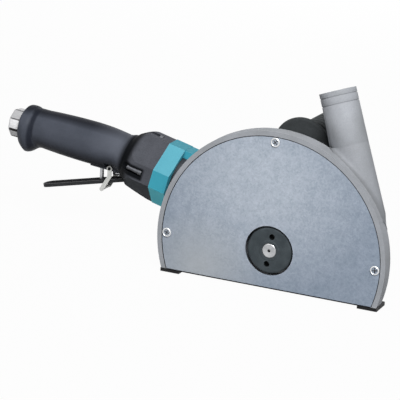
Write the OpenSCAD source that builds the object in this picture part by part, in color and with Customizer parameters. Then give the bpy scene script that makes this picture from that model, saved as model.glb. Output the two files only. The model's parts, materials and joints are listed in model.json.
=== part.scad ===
// Pneumatic cut off tool: a lever-started air motor, an angle head and a dust hood.
// Origin: on the spindle axis, in the plane of the hood's front rim.
// X runs along the hood's base, away from the grip. Y runs along the spindle, away from
// the front plate. Z is up. Lengths are in millimetres, angles in degrees.

/* [Hood] */
// Outer radius of the hood, from the spindle axis
hood_r = 126.5; // [122:0.5:134]
// Depth of the hood, from the rim to the rear face
hood_depth = 27; // [25.5:0.5:30]
// Wall thickness of the hood casting
hood_wall = 4; // [3:0.5:5]
// Radius of the hood's rounded rear edge
hood_edge_r = 14; // [9:0.5:16]
// Width of the rim that shows around the plate
rim_w = 5; // [4:0.5:6.5]
// Ledge of the rim that the plate lies on
rim_ledge_w = 2; // [1:0.5:4]
// Depth of the thick part of the rim, behind the plate
rim_depth = 4; // [3:0.5:6]
// Height of the spindle axis above the hood's base
base_drop = 39.5; // [36:0.5:43]
// Radius of the hood's opening for the tool's neck
hood_hole_r = 33; // [30:0.5:34]

/* [Front plate] */
// Thickness of the front plate
plate_t = 2; // [1.5:0.5:3]
// Depth of the plate's face behind the rim
plate_sink = 0.3; // [0.1:0.1:0.8]
// Gap around the plate
plate_gap = 0.3; // [0.2:0.1:0.8]
// Radius of the plate's opening for the flange nut
plate_hole_r = 26.5; // [25.5:0.5:30]
// Distance of the plate screws from the hood's outer edge
plate_screw_inset = 10.9; // [10:0.1:13]
// Radius of a plate screw's shank
plate_screw_r = 2.4; // [2:0.1:3]
// Radius of a plate screw's head
plate_screw_head_r = 4.5; // [4:0.1:5.5]
// Height of a plate screw's head
plate_screw_head_h = 1.8; // [1.2:0.1:2.4]
// Radius of the lugs behind the plate screws
plate_lug_r = 6; // [5:0.5:7]
// Depth of the lugs behind the plate
plate_lug_depth = 6; // [5:0.5:7]

/* [Wear shoes] */
// Thickness of a wear shoe
shoe_t = 4; // [3:0.5:6]
// Length of a wear shoe along the base
shoe_len = 21.5; // [18:0.5:24]
// Reach of a wear shoe past the hood's side
shoe_overhang = 0.8; // [0:0.1:3]
// Depth of a wear shoe
shoe_depth = 25; // [22:0.5:26]
// Height of the hood's lug above a wear shoe
shoe_lug_h = 7; // [6:0.5:10]
// Radius of a shoe screw's shank
shoe_screw_r = 2; // [1.5:0.1:2.5]

/* [Dust spout] */
// Outer radius of the dust spout
spout_r = 19.2; // [17:0.1:21]
// Wall thickness of the dust spout
spout_wall = 2.7; // [2:0.1:3.5]
// Length of the spout from the hood's side to its end
spout_len = 142; // [125:1:155]
// Length of the spout's straight round end
spout_round_len = 56; // [48:1:64]
// Sideways lean of the spout
spout_lean = 20.8; // [16:0.1:25]
// Backward lean of the spout
spout_back_lean = 7.3; // [4:0.1:9]
// Gap between the spout's outer side and the hood's outer radius
spout_inset = 1.3; // [0.8:0.1:3]
// Half depth of the spout's root on the hood
root_half = 13.5; // [12.5:0.1:14.5]
// Distance of the root's middle behind the middle of the passage
root_back = 3.6; // [2.5:0.1:4.5]
// Reach of the root past the tube's outer side
root_flank = 2.3; // [1.5:0.1:3]
// Length of the root's tail down the hood's side
root_tail = 30; // [22:1:36]
// Distance of the first ring groove from the spout's end
spout_groove_at = 6; // [4:0.5:9]
// Spacing of the two ring grooves
spout_groove_pitch = 8; // [5:0.5:12]
// Width and twice the depth of a ring groove
spout_groove_w = 1; // [0.6:0.1:1.6]

/* [Side handle] */
// Distance of the side handle from the hood's outer edge
side_inset = 24.1; // [20:0.1:27]
// Direction of the side handle from the spindle, up from the base line
side_angle = 83.9; // [75:0.1:95]
// Radius of the hood's boss under the side handle
side_boss_r = 14; // [11:0.5:15]
// Height of that boss above the hood's rear face
side_boss_h = 18; // [12:0.5:24]
// Radius of the side handle's hand guard
side_guard_r = 31.3; // [28:0.1:34]
// Thickness of the hand guard
side_guard_t = 6; // [4:0.5:8]
// Radius of the side handle's neck
side_neck_r = 19.8; // [16:0.1:20.5]
// Radius of the side handle's barrel
side_grip_r = 20.2; // [17:0.1:21.5]
// Length of the side handle with its guard
side_len = 114; // [95:1:130]
// Radius of the side handle's stud
side_stud_r = 6; // [4:0.5:7]

/* [Clamp] */
// Radius of the tool's neck that carries the hood
neck_r = 27; // [26.5:0.1:27.5]
// Outer radius of the clamp's flange
clamp_flange_r = 42; // [41.5:0.5:44]
// Thickness of the clamp's flange
clamp_flange_t = 4; // [3:0.5:5]
// Wall thickness of the clamp's collar
clamp_wall = 5; // [4:0.5:5.5]
// Height of the clamp's collar above its flange
clamp_h = 9; // [8.5:0.5:10.5]
// Width of the slit between the clamp's ears
clamp_slit = 3; // [2:0.5:4]
// Thickness of each clamp ear
clamp_ear_t = 7; // [6:0.5:9]
// Reach of the clamp ears from the spindle axis
clamp_ear_reach = 47; // [46:0.5:50]
// Direction of the clamp's slit, up from the base line
clamp_angle = 20; // [10:1:30]
// Radius of the clamp screw
clamp_screw_r = 2.5; // [2:0.1:2.8]
// Radius of the clamp flange's screw circle
clamp_ring_r = 37.4; // [37:0.1:37.8]

/* [Spindle] */
// Radius of the spindle's threaded end
spindle_r = 7.8; // [7:0.1:8.5]
// Radius of the spindle in its front bearing
spindle_seat_r = 10; // [9.5:0.1:11]
// Radius of the spindle's shoulder behind the front bearing
spindle_collar_r = 13; // [12.5:0.5:14]
// Radius of the spindle behind the gear
spindle_rear_r = 6; // [5:0.1:7]
// Radius of the flange nut and the inner flange
nut_r = 24.5; // [22:0.5:25]
// Thickness of the flange nut
nut_t = 8; // [6:0.5:9]
// Depth of the nut's face behind the rim
nut_sink = 1.5; // [1:0.1:3]
// Reach of the spindle's end past the nut's face
spindle_proud = 0.7; // [0.2:0.1:1]
// Radius of the nut's pin holes
nut_pin_r = 2.5; // [2:0.1:3]
// Spacing of the nut's pin holes
nut_pin_pitch = 30; // [28:0.5:34]
// Thickness of the inner flange
flange_t = 7; // [5:0.5:8]

/* [Angle head] */
// Distance of the motor axis behind the rim
axis_y = 80; // [78:0.5:84]
// Outer radius of the angle head around the spindle
head_r = 33; // [32:0.5:35]
// Wall thickness of the angle head
head_wall = 5.5; // [4.5:0.5:5.5]
// Radius of the angle head's neck towards the motor
head_neck_r = 22; // [20:0.5:22.5]
// Length of the angle head from the spindle axis to the motor
head_len = 60; // [58:0.5:64]
// Thickness of the angle head's motor flange
head_flange_t = 12; // [9:0.5:13]
// Radius of the angle head's motor flange
head_flange_r = 35.5; // [34.5:0.5:37]
// Radius of the cap's flange
cap_flange_r = 37; // [36.5:0.5:39]
// Thickness of the cap's flange
cap_flange_t = 6; // [4:0.5:7]
// Width of the cap in front of the motor axis, from the axis to the flange's face
cap_back = 27; // [26:0.5:28]
// Reach of the angle head behind the motor axis
head_back = 23; // [22:0.5:26]
// Outer radius of the front spindle bearing
bearing_r = 23.5; // [22.5:0.1:24]
// Width of the front spindle bearing
bearing_w = 14; // [12:0.5:14]
// Outer radius of the small bearings
small_bearing_r = 14; // [13:0.1:15]
// Width of the small bearings
small_bearing_w = 8; // [6:0.5:8]
// Radius of a head screw's shank
head_screw_r = 2; // [1.5:0.1:2.2]

/* [Bevel gears] */
// Module of the teeth at their outer ends
gear_module = 2; // [1.8:0.05:2.1]
// Teeth on the wheel
wheel_teeth = 24; // [20:1:26]
// Teeth on the pinion
pinion_teeth = 10; // [9:1:12]
// Face width of the teeth
gear_face = 8; // [6:0.5:9]
// Radius of the pinion's seat on the rotor shaft
pinion_seat_r = 4; // [3:0.1:4.2]

/* [Motor] */
// Tilt of the motor axis above the base line
motor_tilt = 14.6; // [12:0.1:16]
// Outer radius of the motor case
case_r = 28.5; // [28:0.5:29]
// Wall thickness of the motor case
case_wall = 3; // [2.5:0.5:3.5]
// Length of the motor case
case_len = 103; // [100:1:110]
// Thickness of the motor case's front flange
case_flange_t = 8; // [6:0.5:9]
// Thickness of an end plate
end_plate_t = 12; // [10.5:0.5:13]
// Length of the cylinder liner
liner_len = 62; // [56:1:64]
// Radius of the cylinder's bore
liner_bore_r = 20.3; // [20.3:0.1:20.8]
// Offset of the cylinder's bore from the rotor axis
liner_offset = 2; // [1:0.1:2]
// Radius of the rotor
rotor_r = 18; // [16:0.5:18]
// Radius of the rotor's shaft
shaft_r = 6; // [5:0.1:6.5]
// Number of vanes
vane_count = 5; // [4:1:6]
// Thickness of a vane
vane_t = 3; // [2:0.1:3.5]
// Depth of a vane's slot
vane_depth = 9.5; // [7:0.5:10]

/* [Collar and rear housing] */
// Half width of the collar across its narrow flats
collar_flat = 35.6; // [35.2:0.1:37]
// Half width of the collar across its wide faces
collar_diag = 32.4; // [32:0.1:33.2]
// Width of the collar along the motor
collar_w = 19.4; // [17:0.2:22]
// Length of the tongue on top of the collar
tongue_len = 22; // [12:1:28]
// Step from the collar down to the rear housing
rear_step = 0.6; // [0.3:0.1:1]
// Length of the rear housing's full section
rear_len = 20.5; // [18.5:0.5:22.5]
// Length of the rear housing's shoulder
shoulder_len = 33.5; // [31:0.5:36]
// Radius that the shoulder comes down to
shoulder_r = 20.8; // [20.2:0.1:21.4]
// Upward tilt of the rear housing's rounded underside, against the motor axis
underside_tilt = 11.5; // [8:0.5:13]
// Distance of the housing bolts from the motor axis
bolt_ring_r = 32.4; // [32:0.1:32.6]
// Radius of a housing bolt's shank
bolt_r = 2; // [1.5:0.1:2.1]
// Radius of the long barrels on the two side bolts
barrel_r = 2.9; // [2.6:0.1:3.2]
// Length of the long barrels on the two side bolts
barrel_len = 18; // [12:0.5:20]
// Radius of the troughs that the housing bolts lie in
trough_r = 4.2; // [3.8:0.1:4.8]
// Distance of the troughs' closed ends behind the collar
trough_at = 12; // [10:0.5:14]
// Length of the troughs
trough_len = 32; // [26:1:36]

/* [Grip] */
// Tilt of the grip above the base line
grip_tilt = 6.1; // [4:0.1:9]
// Distance of the bend behind the collar
bend_back = 49; // [47:0.5:51]
// Length of the grip behind the bend
grip_len = 123.5; // [115:0.5:135]
// Distance of the grip sleeve's front end behind the collar
grip_front_back = 42; // [41:0.5:43]
// Depth of the groove between the rear housing and the grip sleeve
joint_groove = 1.8; // [1:0.1:2.4]
// Half width of that groove
joint_half_w = 3; // [2:0.1:4]
// Rise of the barrel above the axis of the housing's core
grip_rise = 1.5; // [1:0.1:2]
// Radius of the barrel at its front end, inside the shoulder
grip_front_r = 18.7; // [18.4:0.1:19.4]
// Radius of the barrel at its belly
grip_belly_r = 23.3; // [22.8:0.1:24.5]
// Distance of the belly behind the bend
belly_at = 42; // [38:0.5:48]
// Radius of the barrel at its waist
grip_waist_r = 21.2; // [20.8:0.1:22]
// Distance of the waist from the grip's rear end
waist_back = 23.5; // [20:0.5:28]
// Drop of the flare below the axis of the housing's core
flare_drop = 2.4; // [1.5:0.1:2.6]
// Radius that the flare starts from, inside the barrel
flare_root_r = 17.9; // [17.5:0.1:18.5]
// Radius of the flare at the grip's rear end
grip_flare_r = 26.2; // [25.5:0.1:28]
// Radius of the grip's end face
grip_end_r = 20.6; // [20.4:0.1:22]
// Distance of the flare from the grip's rear end
flare_back = 7; // [5:0.5:8]
// Radius of the housing's core inside the grip
core_r = 17.4; // [17:0.1:17.6]
// Half of the inlet's width across its flats
inlet_flat = 14.7; // [14.5:0.1:15.2]
// Reach of the inlet past the grip
inlet_reach = 15.5; // [12:0.5:20]
// Radius of the inlet's threaded hole
inlet_bore_r = 9.3; // [8:0.1:10]
// Depth of the inlet's threaded hole
inlet_bore_len = 16; // [12:0.5:20]
// Radius of the inlet's shank inside the housing
inlet_shank_r = 13; // [12:0.1:14]

/* [Throttle] */
// Distance of the lever's pivot behind the collar, along the motor axis
lever_back = 35.5; // [34.5:0.5:36.5]
// Distance of the lever's pivot below the motor axis
lever_drop = 22.1; // [21.5:0.1:22.5]
// Downward slope of the lever at rest
lever_slope = 12.9; // [12.9:0.1:14.5]
// Length of the lever
lever_len = 109.5; // [90:0.5:118]
// Half width of the lever
lever_half_w = 8.2; // [7.8:0.1:8.6]
// Thickness of the lever's channel
lever_t = 3.8; // [3.6:0.1:4.6]
// Sheet thickness of the lever
lever_sheet = 1.6; // [1.2:0.1:1.8]
// Drop of the lever's channel below its pivot
lever_offset = 2.4; // [2:0.1:3]
// Radius of the lever's knuckle
knuckle_r = 4; // [3.6:0.1:4.3]
// Radius of the lever's pivot pin
lever_pin_r = 2; // [1.5:0.1:2.2]
// Depth of the block that carries the valve, below the axis of the housing's core
block_depth = 21.6; // [21:0.1:22]
// Place of the valve behind the bend
valve_at = 28; // [27:0.5:29.5]
// Radius of the valve's push pin
valve_pin_r = 2.3; // [1.8:0.1:2.6]
// Radius of the valve's bore
valve_bore_r = 6.5; // [6:0.1:7]
// Radius of the valve's head
valve_head_r = 5.3; // [4.6:0.1:5.4]
// Radius of the hole in the valve's seat
valve_seat_r = 4; // [3.4:0.1:4.2]
// Radius of the valve spring's wire
spring_wire_r = 0.6; // [0.4:0.05:0.7]
// Turns of the valve spring
spring_turns = 5; // [4:1:6]

/* [Safety latch] */
// Distance of the latch's pivot below the grip axis
latch_drop = 18.9; // [18.4:0.1:19]
// Distance of the latch's pivot behind the bend
latch_at = 12.1; // [12:0.1:13]
// Radius of the latch's eye
latch_eye_r = 3.3; // [3:0.1:3.8]
// Radius of the latch's pin
latch_pin_r = 1.6; // [1.3:0.1:1.8]
// Half width of the latch's arm
latch_half_w = 2.3; // [1.8:0.1:2.6]
// Length of the latch's straight upper arm
latch_upper = 9.6; // [8:0.2:11]
// Length of the latch's bent tail
latch_tail = 17.6; // [16.5:0.2:19]
// Angle between the latch's tail and its upper arm
latch_bend = 30.6; // [26:0.5:33]
// Sheet thickness of the latch
latch_sheet = 1.6; // [1.2:0.1:2]

/* [Hidden] */
$fn = 96;
// Sides of the round ends that a hull joins
hull_fn = 32;
// Overrun of a cut past the face it opens
cut = 1;
// Radial play of a turning or assembled fit
fit = 0.05;
// Free gap between pieces that move past each other
clear = 0.3;
// Thickness of the slices that a hull joins
slice = 0.1;
// Points on a curved stretch of a turned outline
curve_steps = 10;
// Points on the shoulder on each side of the joint
shoulder_steps = 14;
// Size of the block that cuts away everything on one side of a plane
far = 600;

// Cap screws follow their shank: head radius and head height
head_r_share = 1.7;
head_h_share = 1.9;

// Hood
plate_r = hood_r - rim_w - plate_gap;
plate_back_y = plate_sink + plate_t;
rim_back_y = plate_back_y + rim_depth;
hood_inner_r = hood_r - hood_wall;
chamber_back_y = hood_depth - hood_wall;
base_half = sqrt(hood_r * hood_r - base_drop * base_drop);
plate_screw_ring_r = hood_r - plate_screw_inset;
plate_screw_angles = [0, 90, 180];
shoe_out_x = base_half + shoe_overhang;
shoe_in_x = shoe_out_x - shoe_len;
shoe_screw_shares = [0.32, 0.78];
shoe_screw_x = (shoe_in_x + base_half - hood_wall) / 2;
shoe_screw_head_h = head_h_share * shoe_screw_r / 2;

// Spout: its frame stands where its axis passes nearest to the spindle
spout_axis_r = hood_r - spout_r - spout_inset;
spout_bore_r = spout_r - spout_wall;
spout_mouth_z = spout_len * 0.07;
spout_round_z = spout_len - spout_round_len;
mouth_mid_y = (rim_back_y + chamber_back_y) / 2;
mouth_half_y = (chamber_back_y - rim_back_y) / 2;
// The straight round end passes behind the hood by this much at the foot of its axis
spout_foot_y = mouth_mid_y + mouth_half_y * 0.65;

// Side handle
side_x = (hood_r - side_inset) * cos(side_angle);
side_z = (hood_r - side_inset) * sin(side_angle);
side_y = hood_depth + side_boss_h + fit;
side_socket = side_stud_r * 3;

// Spindle line, from the rim backwards
flange_y = nut_sink + nut_t;
spindle_step_y = flange_y + flange_t;
cap_face_y = axis_y - cap_back;
cap_flange_y = cap_face_y - cap_flange_t;
head_end_y = axis_y + head_back;
bearing_y = cap_flange_y - clear - bearing_w - head_screw_r * 2;
bearing_back_y = bearing_y + bearing_w;
seal_t = spindle_seat_r * 0.6;
seal_r = bearing_r * 0.72;
cap_front_y = bearing_y - seal_t - fit;
rear_bearing_y = head_end_y - small_bearing_w - head_wall;
cavity_r = head_r - head_wall;
clamp_y = hood_depth;
clamp_collar_r = neck_r + clamp_wall;
clamp_screw_at = (clamp_collar_r + clamp_ear_reach) / 2;
clamp_top_y = clamp_y + clamp_flange_t + clamp_h;
clamp_flange_screw_r = (clamp_flange_r - clamp_ring_r) / head_r_share - fit;
cap_screw_ring_r = cavity_r + (cap_flange_r - cavity_r) * 0.56;
screw_angles = [45, 135, 225, 315];

// Bevel gears: both cones meet where the motor axis crosses the spindle axis
wheel_cone = atan2(wheel_teeth, pinion_teeth);
pinion_cone = 90 - wheel_cone;
cone_len = gear_module * wheel_teeth / 2 / sin(wheel_cone);
addendum = gear_module;
dedendum = gear_module * 1.2;
tooth_sink = gear_module * 0.2;
// Thickness of a tooth at its tip and at its root, over the pitch
tooth_tip_share = 0.13;
tooth_root_share = 0.5;
inner_share = (cone_len - gear_face) / cone_len;
// The gear blank's ends, a little past the teeth
blank_out = 1.03;
blank_in = inner_share - 0.03;
wheel_seat_r = spindle_seat_r + fit;
wheel_hub_r = wheel_seat_r * 1.5;
wheel_back = axis_y - cap_flange_y;
pinion_room_l = cone_len * cos(pinion_cone) * blank_in - 2 * clear;

// Motor line, from the spindle axis backwards along the motor
case_end = head_len + case_len;
case_bore_r = case_r - case_wall;
head_bolt_ring_r = (head_flange_r + case_r) / 2;
head_bolt_r = (head_flange_r - case_r) / 2 / head_r_share - 2 * fit;
pinion_bearing_l = head_len - head_flange_t - small_bearing_w - clear * 6;
pinion_end = mix(cone_len * cos(pinion_cone), pinion_bearing_l, 0.7);
liner_l = head_len + end_plate_t;
liner_end = liner_l + liner_len;
rear_plate_end = liner_end + end_plate_t;
plate_lip = end_plate_t - small_bearing_w - clear * 2;
collar_l = case_end - collar_w;
rear_l = case_end;
rear_flat = collar_flat - rear_step;
rear_diag = collar_diag - rear_step;
rear_corner_r = sqrt(rear_flat * rear_flat + pow(sqrt(2) * rear_diag - rear_flat, 2));
// The underside's tilted cylinder just clears the housing's corners at the collar
underside_r = rear_corner_r + collar_w * sin(underside_tilt) + clear;
shoulder_l = rear_l + rear_len;
shoulder_end = shoulder_l + shoulder_len;
trough_l = rear_l + trough_at;
bolt_seat_l = trough_l + clear;
bolt_angles = [0, 90, 180, 270];
side_bolt_angles = [90, 270];

// Grip line, from the bend backwards
bend_l = rear_l + bend_back;
bend_x = -bend_l * cos(motor_tilt);
bend_z = bend_l * sin(motor_tilt);
core_start = (shoulder_l - bend_l) * 0.9;
core_end = grip_len - clear * 6;
grip_l = rear_l + grip_front_back;
// Where the sleeve's front end meets the block's underside, along the grip
bend_turn = motor_tilt - grip_tilt;
grip_start = (grip_l - bend_l + block_depth * sin(bend_turn)) / cos(bend_turn);
inlet_end = grip_len + inlet_reach;
inlet_shank_len = inlet_shank_r * 1.3;
air_r = inlet_bore_r * 0.65;

// Throttle: places in the shared frame
valve_x = bend_x - valve_at * cos(grip_tilt);
valve_z = bend_z + valve_at * sin(grip_tilt);
lever_l = rear_l + lever_back;
pivot_x = -lever_l * cos(motor_tilt) - lever_drop * sin(motor_tilt);
pivot_z = lever_l * sin(motor_tilt) - lever_drop * cos(motor_tilt);
lever_pin_span = lever_half_w * 1.38;
latch_x = bend_x - latch_at * cos(grip_tilt) - latch_drop * sin(grip_tilt);
latch_z = bend_z + latch_at * sin(grip_tilt) - latch_drop * cos(grip_tilt);
block_end = valve_at + valve_bore_r * 1.25;
latch_gap = lever_half_w + clear * 2;
block_half_w = latch_gap - clear * 0.8;
latch_half_span = latch_gap + latch_sheet;
notch_half_w = latch_half_span * 1.75;
notch_half_len = latch_eye_r * 1.5;

// Valve stack along its own upright axis, measured from the grip axis
bushing_low = -block_depth;
seat_top = -valve_bore_r * 0.92;
seat_low = seat_top - valve_bore_r * 0.46;
duct_r = valve_bore_r * 0.34;
bushing_top = seat_low - 2 * duct_r - 2 * clear;
duct_z = (seat_low + bushing_top) / 2;
head_low = seat_top + clear;
head_top = head_low + valve_bore_r * 0.45;
spring_low = head_top + clear;
spring_top = core_r - valve_bore_r * 0.8;
spring_r = valve_head_r - spring_wire_r;
floor_drop = lever_offset + lever_t / 2 - lever_sheet;
lever_floor_z = pivot_z - (pivot_x - valve_x) * tan(lever_slope) - floor_drop / cos(lever_slope);
pin_tip = lever_floor_z - valve_z + clear * 1.3;

// Frames and shared shapes

// Turns an outline of radius and depth about the spindle axis
module turned_y() { rotate([-90, 0, 0]) rotate_extrude() children(); }

// Places a piece with its local Z along the spindle, at a depth
module along_y(y) { translate([0, y, 0]) rotate([-90, 0, 0]) children(); }

// Extrudes an outline drawn in X and Z, from depth y backwards
module plate_y(y, t) { translate([0, y + t, 0]) rotate([90, 0, 0]) linear_extrude(t) children(); }

// Local Z runs backwards along the motor axis and local X points up
module on_motor(l) { translate([0, axis_y, 0]) rotate([0, motor_tilt - 90, 0]) translate([0, 0, l]) children(); }

// Local Z runs backwards along the grip axis and local X points up
module on_grip(s) {
  translate([bend_x, axis_y, bend_z]) rotate([0, grip_tilt - 90, 0]) translate([0, 0, s]) children();
}

// Local Z runs up the spout and local X points away from the spindle
module on_spout(z) {
  rotate([0, -spout_lean, 0])
    translate([spout_axis_r, spout_foot_y, 0])
      rotate([-spout_back_lean, 0, 0]) translate([0, 0, z]) children();
}

// The upright axis of the valve, measured from the grip axis
module on_valve(z) { translate([valve_x, axis_y, valve_z + z]) children(); }

module ring(r_out, r_in, h) {
  difference() {
    cylinder(r = r_out, h = h);
    translate([0, 0, -cut]) cylinder(r = r_in, h = h + 2 * cut);
  }
}

// A cap screw that hangs from its head: the head stands above Z zero, the shank below it
module cap_screw(r, len) {
  cylinder(r = r * head_r_share, h = r * head_h_share);
  translate([0, 0, -len]) cylinder(r = r, h = len + fit);
}

// A shielded ball bearing, with a shallow recess between its races
module bearing(r_out, r_in, w) {
  shield = (r_out - r_in) * 0.22;
  difference() {
    ring(r_out, r_in, w);
    for (z = [-cut, w - clear])
      translate([0, 0, z]) ring(r_out - shield, r_in + shield, clear + cut);
  }
}

// Four-sided and eight-sided section of the collar and the rear housing
module octagon(flat, diag) {
  intersection() {
    square(2 * flat, center = true);
    rotate(45) square(2 * diag, center = true);
  }
}

function ease(t) = (1 - cos(180 * t)) / 2;
function mix(a, b, t) = a + (b - a) * t;

// Radius of the shoulder at a place on the motor axis, with the groove in front of the grip
function shoulder_at(l) =
  mix(rear_corner_r, shoulder_r, ease((l - shoulder_l) / shoulder_len))
  - joint_groove * ease(max(0, 1 - abs(l - grip_l) / joint_half_w));

// Hood

module hood_outline(r, edge, depth, front) {
  intersection() {
    translate([0, front]) square([r, depth - front]);
    union() {
      translate([0, front]) square([r, depth - front - edge]);
      translate([0, front]) square([r - edge, depth - front]);
      translate([r - edge, depth - edge]) circle(r = edge);
    }
  }
}

module hood_solid() { turned_y() hood_outline(hood_r, hood_edge_r, hood_depth, 0); }

module hood_chamber() {
  turned_y() {
    hood_outline(hood_inner_r, max(hood_edge_r - hood_wall, hood_wall), chamber_back_y, rim_back_y);
    translate([0, plate_back_y - fit]) square([plate_r - rim_ledge_w, rim_depth + 2 * fit]);
    translate([0, -cut]) square([plate_r + plate_gap, plate_back_y + cut]);
  }
}

// Everything below the hood's base
module below_base() { translate([-far / 2, -far / 2, -base_drop - far]) cube(far); }

// A round end of the spout's root or passage on the hood's side
module spout_foot(x, y, z, r) {
  rotate([0, -spout_lean, 0])
    translate([spout_axis_r + x, y, z]) cylinder(r = r, h = slice, $fn = hull_fn);
}

// Outside of the spout where it grows out of the hood's side, with a tail that sinks into the hood
module spout_root() {
  spread = spout_r - root_half;
  hull() {
    on_spout(spout_round_z) cylinder(r = spout_r - fit, h = slice, $fn = hull_fn);
    spout_foot(-spread, mouth_mid_y + root_back, spout_mouth_z, root_half);
    spout_foot(spread + root_flank, mouth_mid_y + root_back, spout_mouth_z, root_half);
    spout_foot(spread, mouth_mid_y, -root_tail, root_half * 0.45);
  }
}

module spout_passage() {
  spread = spout_bore_r - mouth_half_y;
  hull() {
    on_spout(spout_round_z) cylinder(r = spout_bore_r - fit, h = slice, $fn = hull_fn);
    for (side = [-1, 1]) spout_foot(side * spread, mouth_mid_y, spout_mouth_z, mouth_half_y);
  }
  on_spout(spout_round_z - 2 * slice) cylinder(r = spout_bore_r, h = spout_round_len + 2 * slice + cut);
}

module on_plate_screws(y) {
  for (a = plate_screw_angles)
    rotate([0, -a, 0]) translate([plate_screw_ring_r, y, 0]) rotate([-90, 0, 0]) children();
}

module on_shoe_screws(side, z) {
  for (share = shoe_screw_shares)
    translate([side * shoe_screw_x, share * shoe_depth, z]) children();
}

module hood_lugs() {
  intersection() {
    hood_solid();
    union() {
      on_plate_screws(plate_back_y) {
        cylinder(r = plate_lug_r, h = plate_lug_depth);
        translate([0, -plate_lug_r, 0])
          cube([plate_screw_inset - hood_wall / 2, 2 * plate_lug_r, plate_lug_depth]);
      }
      for (side = [0, 1])
        mirror([side, 0, 0])
          translate([shoe_in_x, plate_back_y, -base_drop])
            cube([shoe_len, hood_depth - plate_back_y, shoe_lug_h]);
    }
  }
}

module hood_shell() {
  color("#a9aaab")
  difference() {
    union() {
      difference() {
        union() {
          hood_solid();
          translate([side_x, hood_depth - hood_edge_r, side_z])
            along_y(0) cylinder(r = side_boss_r, h = hood_edge_r + side_boss_h);
        }
        hood_chamber();
        spout_passage();
      }
      hood_lugs();
    }
    below_base();
    along_y(chamber_back_y - cut) cylinder(r = hood_hole_r, h = hood_wall + 2 * cut);
    on_plate_screws(plate_back_y - cut) cylinder(r = plate_screw_r + fit, h = plate_lug_depth + cut + fit);
    for (side = [-1, 1])
      on_shoe_screws(side, -base_drop - cut) cylinder(r = shoe_screw_r + fit, h = shoe_lug_h + cut - fit);
    along_y(chamber_back_y - cut) on_clamp_screws()
      cylinder(r = clamp_flange_screw_r + fit, h = hood_wall + 2 * cut);
    translate([side_x, side_y - side_socket, side_z])
      along_y(0) cylinder(r = side_stud_r + fit, h = side_socket + cut);
  }
}

module dust_spout() {
  color("#a9aaab")
  difference() {
    union() {
      spout_root();
      on_spout(spout_round_z - slice) cylinder(r = spout_r, h = spout_round_len + slice);
    }
    spout_passage();
    hood_solid();
    for (i = [0, 1])
      on_spout(spout_len - spout_groove_at - i * spout_groove_pitch)
        ring(spout_r + cut, spout_r - spout_groove_w / 2, spout_groove_w);
  }
}

module hood_plate() {
  color("#a8b4be")
  difference() {
    plate_y(plate_sink, plate_t)
      difference() {
        circle(r = plate_r);
        translate([-far / 2, -base_drop - far]) square(far);
        circle(r = plate_hole_r);
      }
    on_plate_screws(plate_sink - cut) cylinder(r = plate_screw_r + fit, h = plate_t + 2 * cut);
  }
}

module plate_screws() {
  color("silver")
  on_plate_screws(plate_sink - plate_screw_head_h) {
    cylinder(r = plate_screw_head_r, h = plate_screw_head_h);
    cylinder(r = plate_screw_r, h = plate_screw_head_h + plate_t + plate_lug_depth - clear);
  }
}

module shoe(side) {
  color("#3a3a3c")
  difference() {
    translate([side > 0 ? shoe_in_x : -shoe_out_x, 0, -base_drop - shoe_t])
      cube([shoe_len, shoe_depth, shoe_t]);
    on_shoe_screws(side, -base_drop - shoe_t - cut) {
      cylinder(r = shoe_screw_r + fit, h = shoe_t + 2 * cut);
      cylinder(r = shoe_screw_r * head_r_share + fit, h = cut + shoe_screw_head_h + clear);
    }
  }
}

module left_shoe() { shoe(-1); }

module right_shoe() { shoe(1); }

module shoe_screws() {
  color("#55585c")
  for (side = [-1, 1])
    on_shoe_screws(side, -base_drop - shoe_t + clear) {
      cylinder(r = shoe_screw_r * head_r_share, h = shoe_screw_head_h);
      cylinder(r = shoe_screw_r, h = shoe_t + shoe_lug_h - 4 * clear);
    }
}

// Clamp between the hood and the tool's neck

module on_clamp_screws() {
  for (a = screw_angles) rotate(-a - clamp_angle) translate([clamp_ring_r, 0, 0]) children();
}

module in_clamp() { along_y(clamp_y) rotate(-clamp_angle) children(); }

module clamp_collar() {
  ear_w = clamp_slit + 2 * clamp_ear_t;
  color("#7d7f82")
  in_clamp()
    difference() {
      union() {
        cylinder(r = clamp_flange_r, h = clamp_flange_t);
        cylinder(r = clamp_collar_r, h = clamp_flange_t + clamp_h);
        translate([neck_r, -ear_w / 2, clamp_flange_t]) cube([clamp_ear_reach - neck_r, ear_w, clamp_h]);
      }
      translate([0, 0, -cut]) cylinder(r = neck_r + fit, h = clamp_flange_t + clamp_h + 2 * cut);
      translate([0, -clamp_slit / 2, clamp_flange_t])
        cube([clamp_ear_reach + cut, clamp_slit, clamp_h + cut]);
      translate([clamp_screw_at, -ear_w / 2 - cut, clamp_flange_t + clamp_h / 2])
        rotate([-90, 0, 0]) cylinder(r = clamp_screw_r + fit, h = ear_w + 2 * cut);
      translate([0, 0, -cut]) rotate(clamp_angle) on_clamp_screws()
        cylinder(r = clamp_flange_screw_r + fit, h = clamp_flange_t + 2 * cut);
    }
}

module clamp_flange_screws() {
  color("#6b6e72")
  along_y(clamp_y + clamp_flange_t) on_clamp_screws()
    cap_screw(clamp_flange_screw_r, clamp_flange_t + hood_wall);
}

module clamp_screw() {
  ear_w = clamp_slit + 2 * clamp_ear_t;
  nut_h = clamp_screw_r * head_h_share;
  color("#6b6e72")
  in_clamp()
    translate([clamp_screw_at, ear_w / 2, clamp_flange_t + clamp_h / 2])
      rotate([-90, 0, 0]) {
        cap_screw(clamp_screw_r, ear_w + nut_h);
        translate([0, 0, -ear_w - nut_h]) cylinder(r = clamp_screw_r * head_r_share, h = nut_h, $fn = 6);
      }
}

// Side handle

module side_frame() { translate([side_x, side_y, side_z]) along_y(0) children(); }

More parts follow.
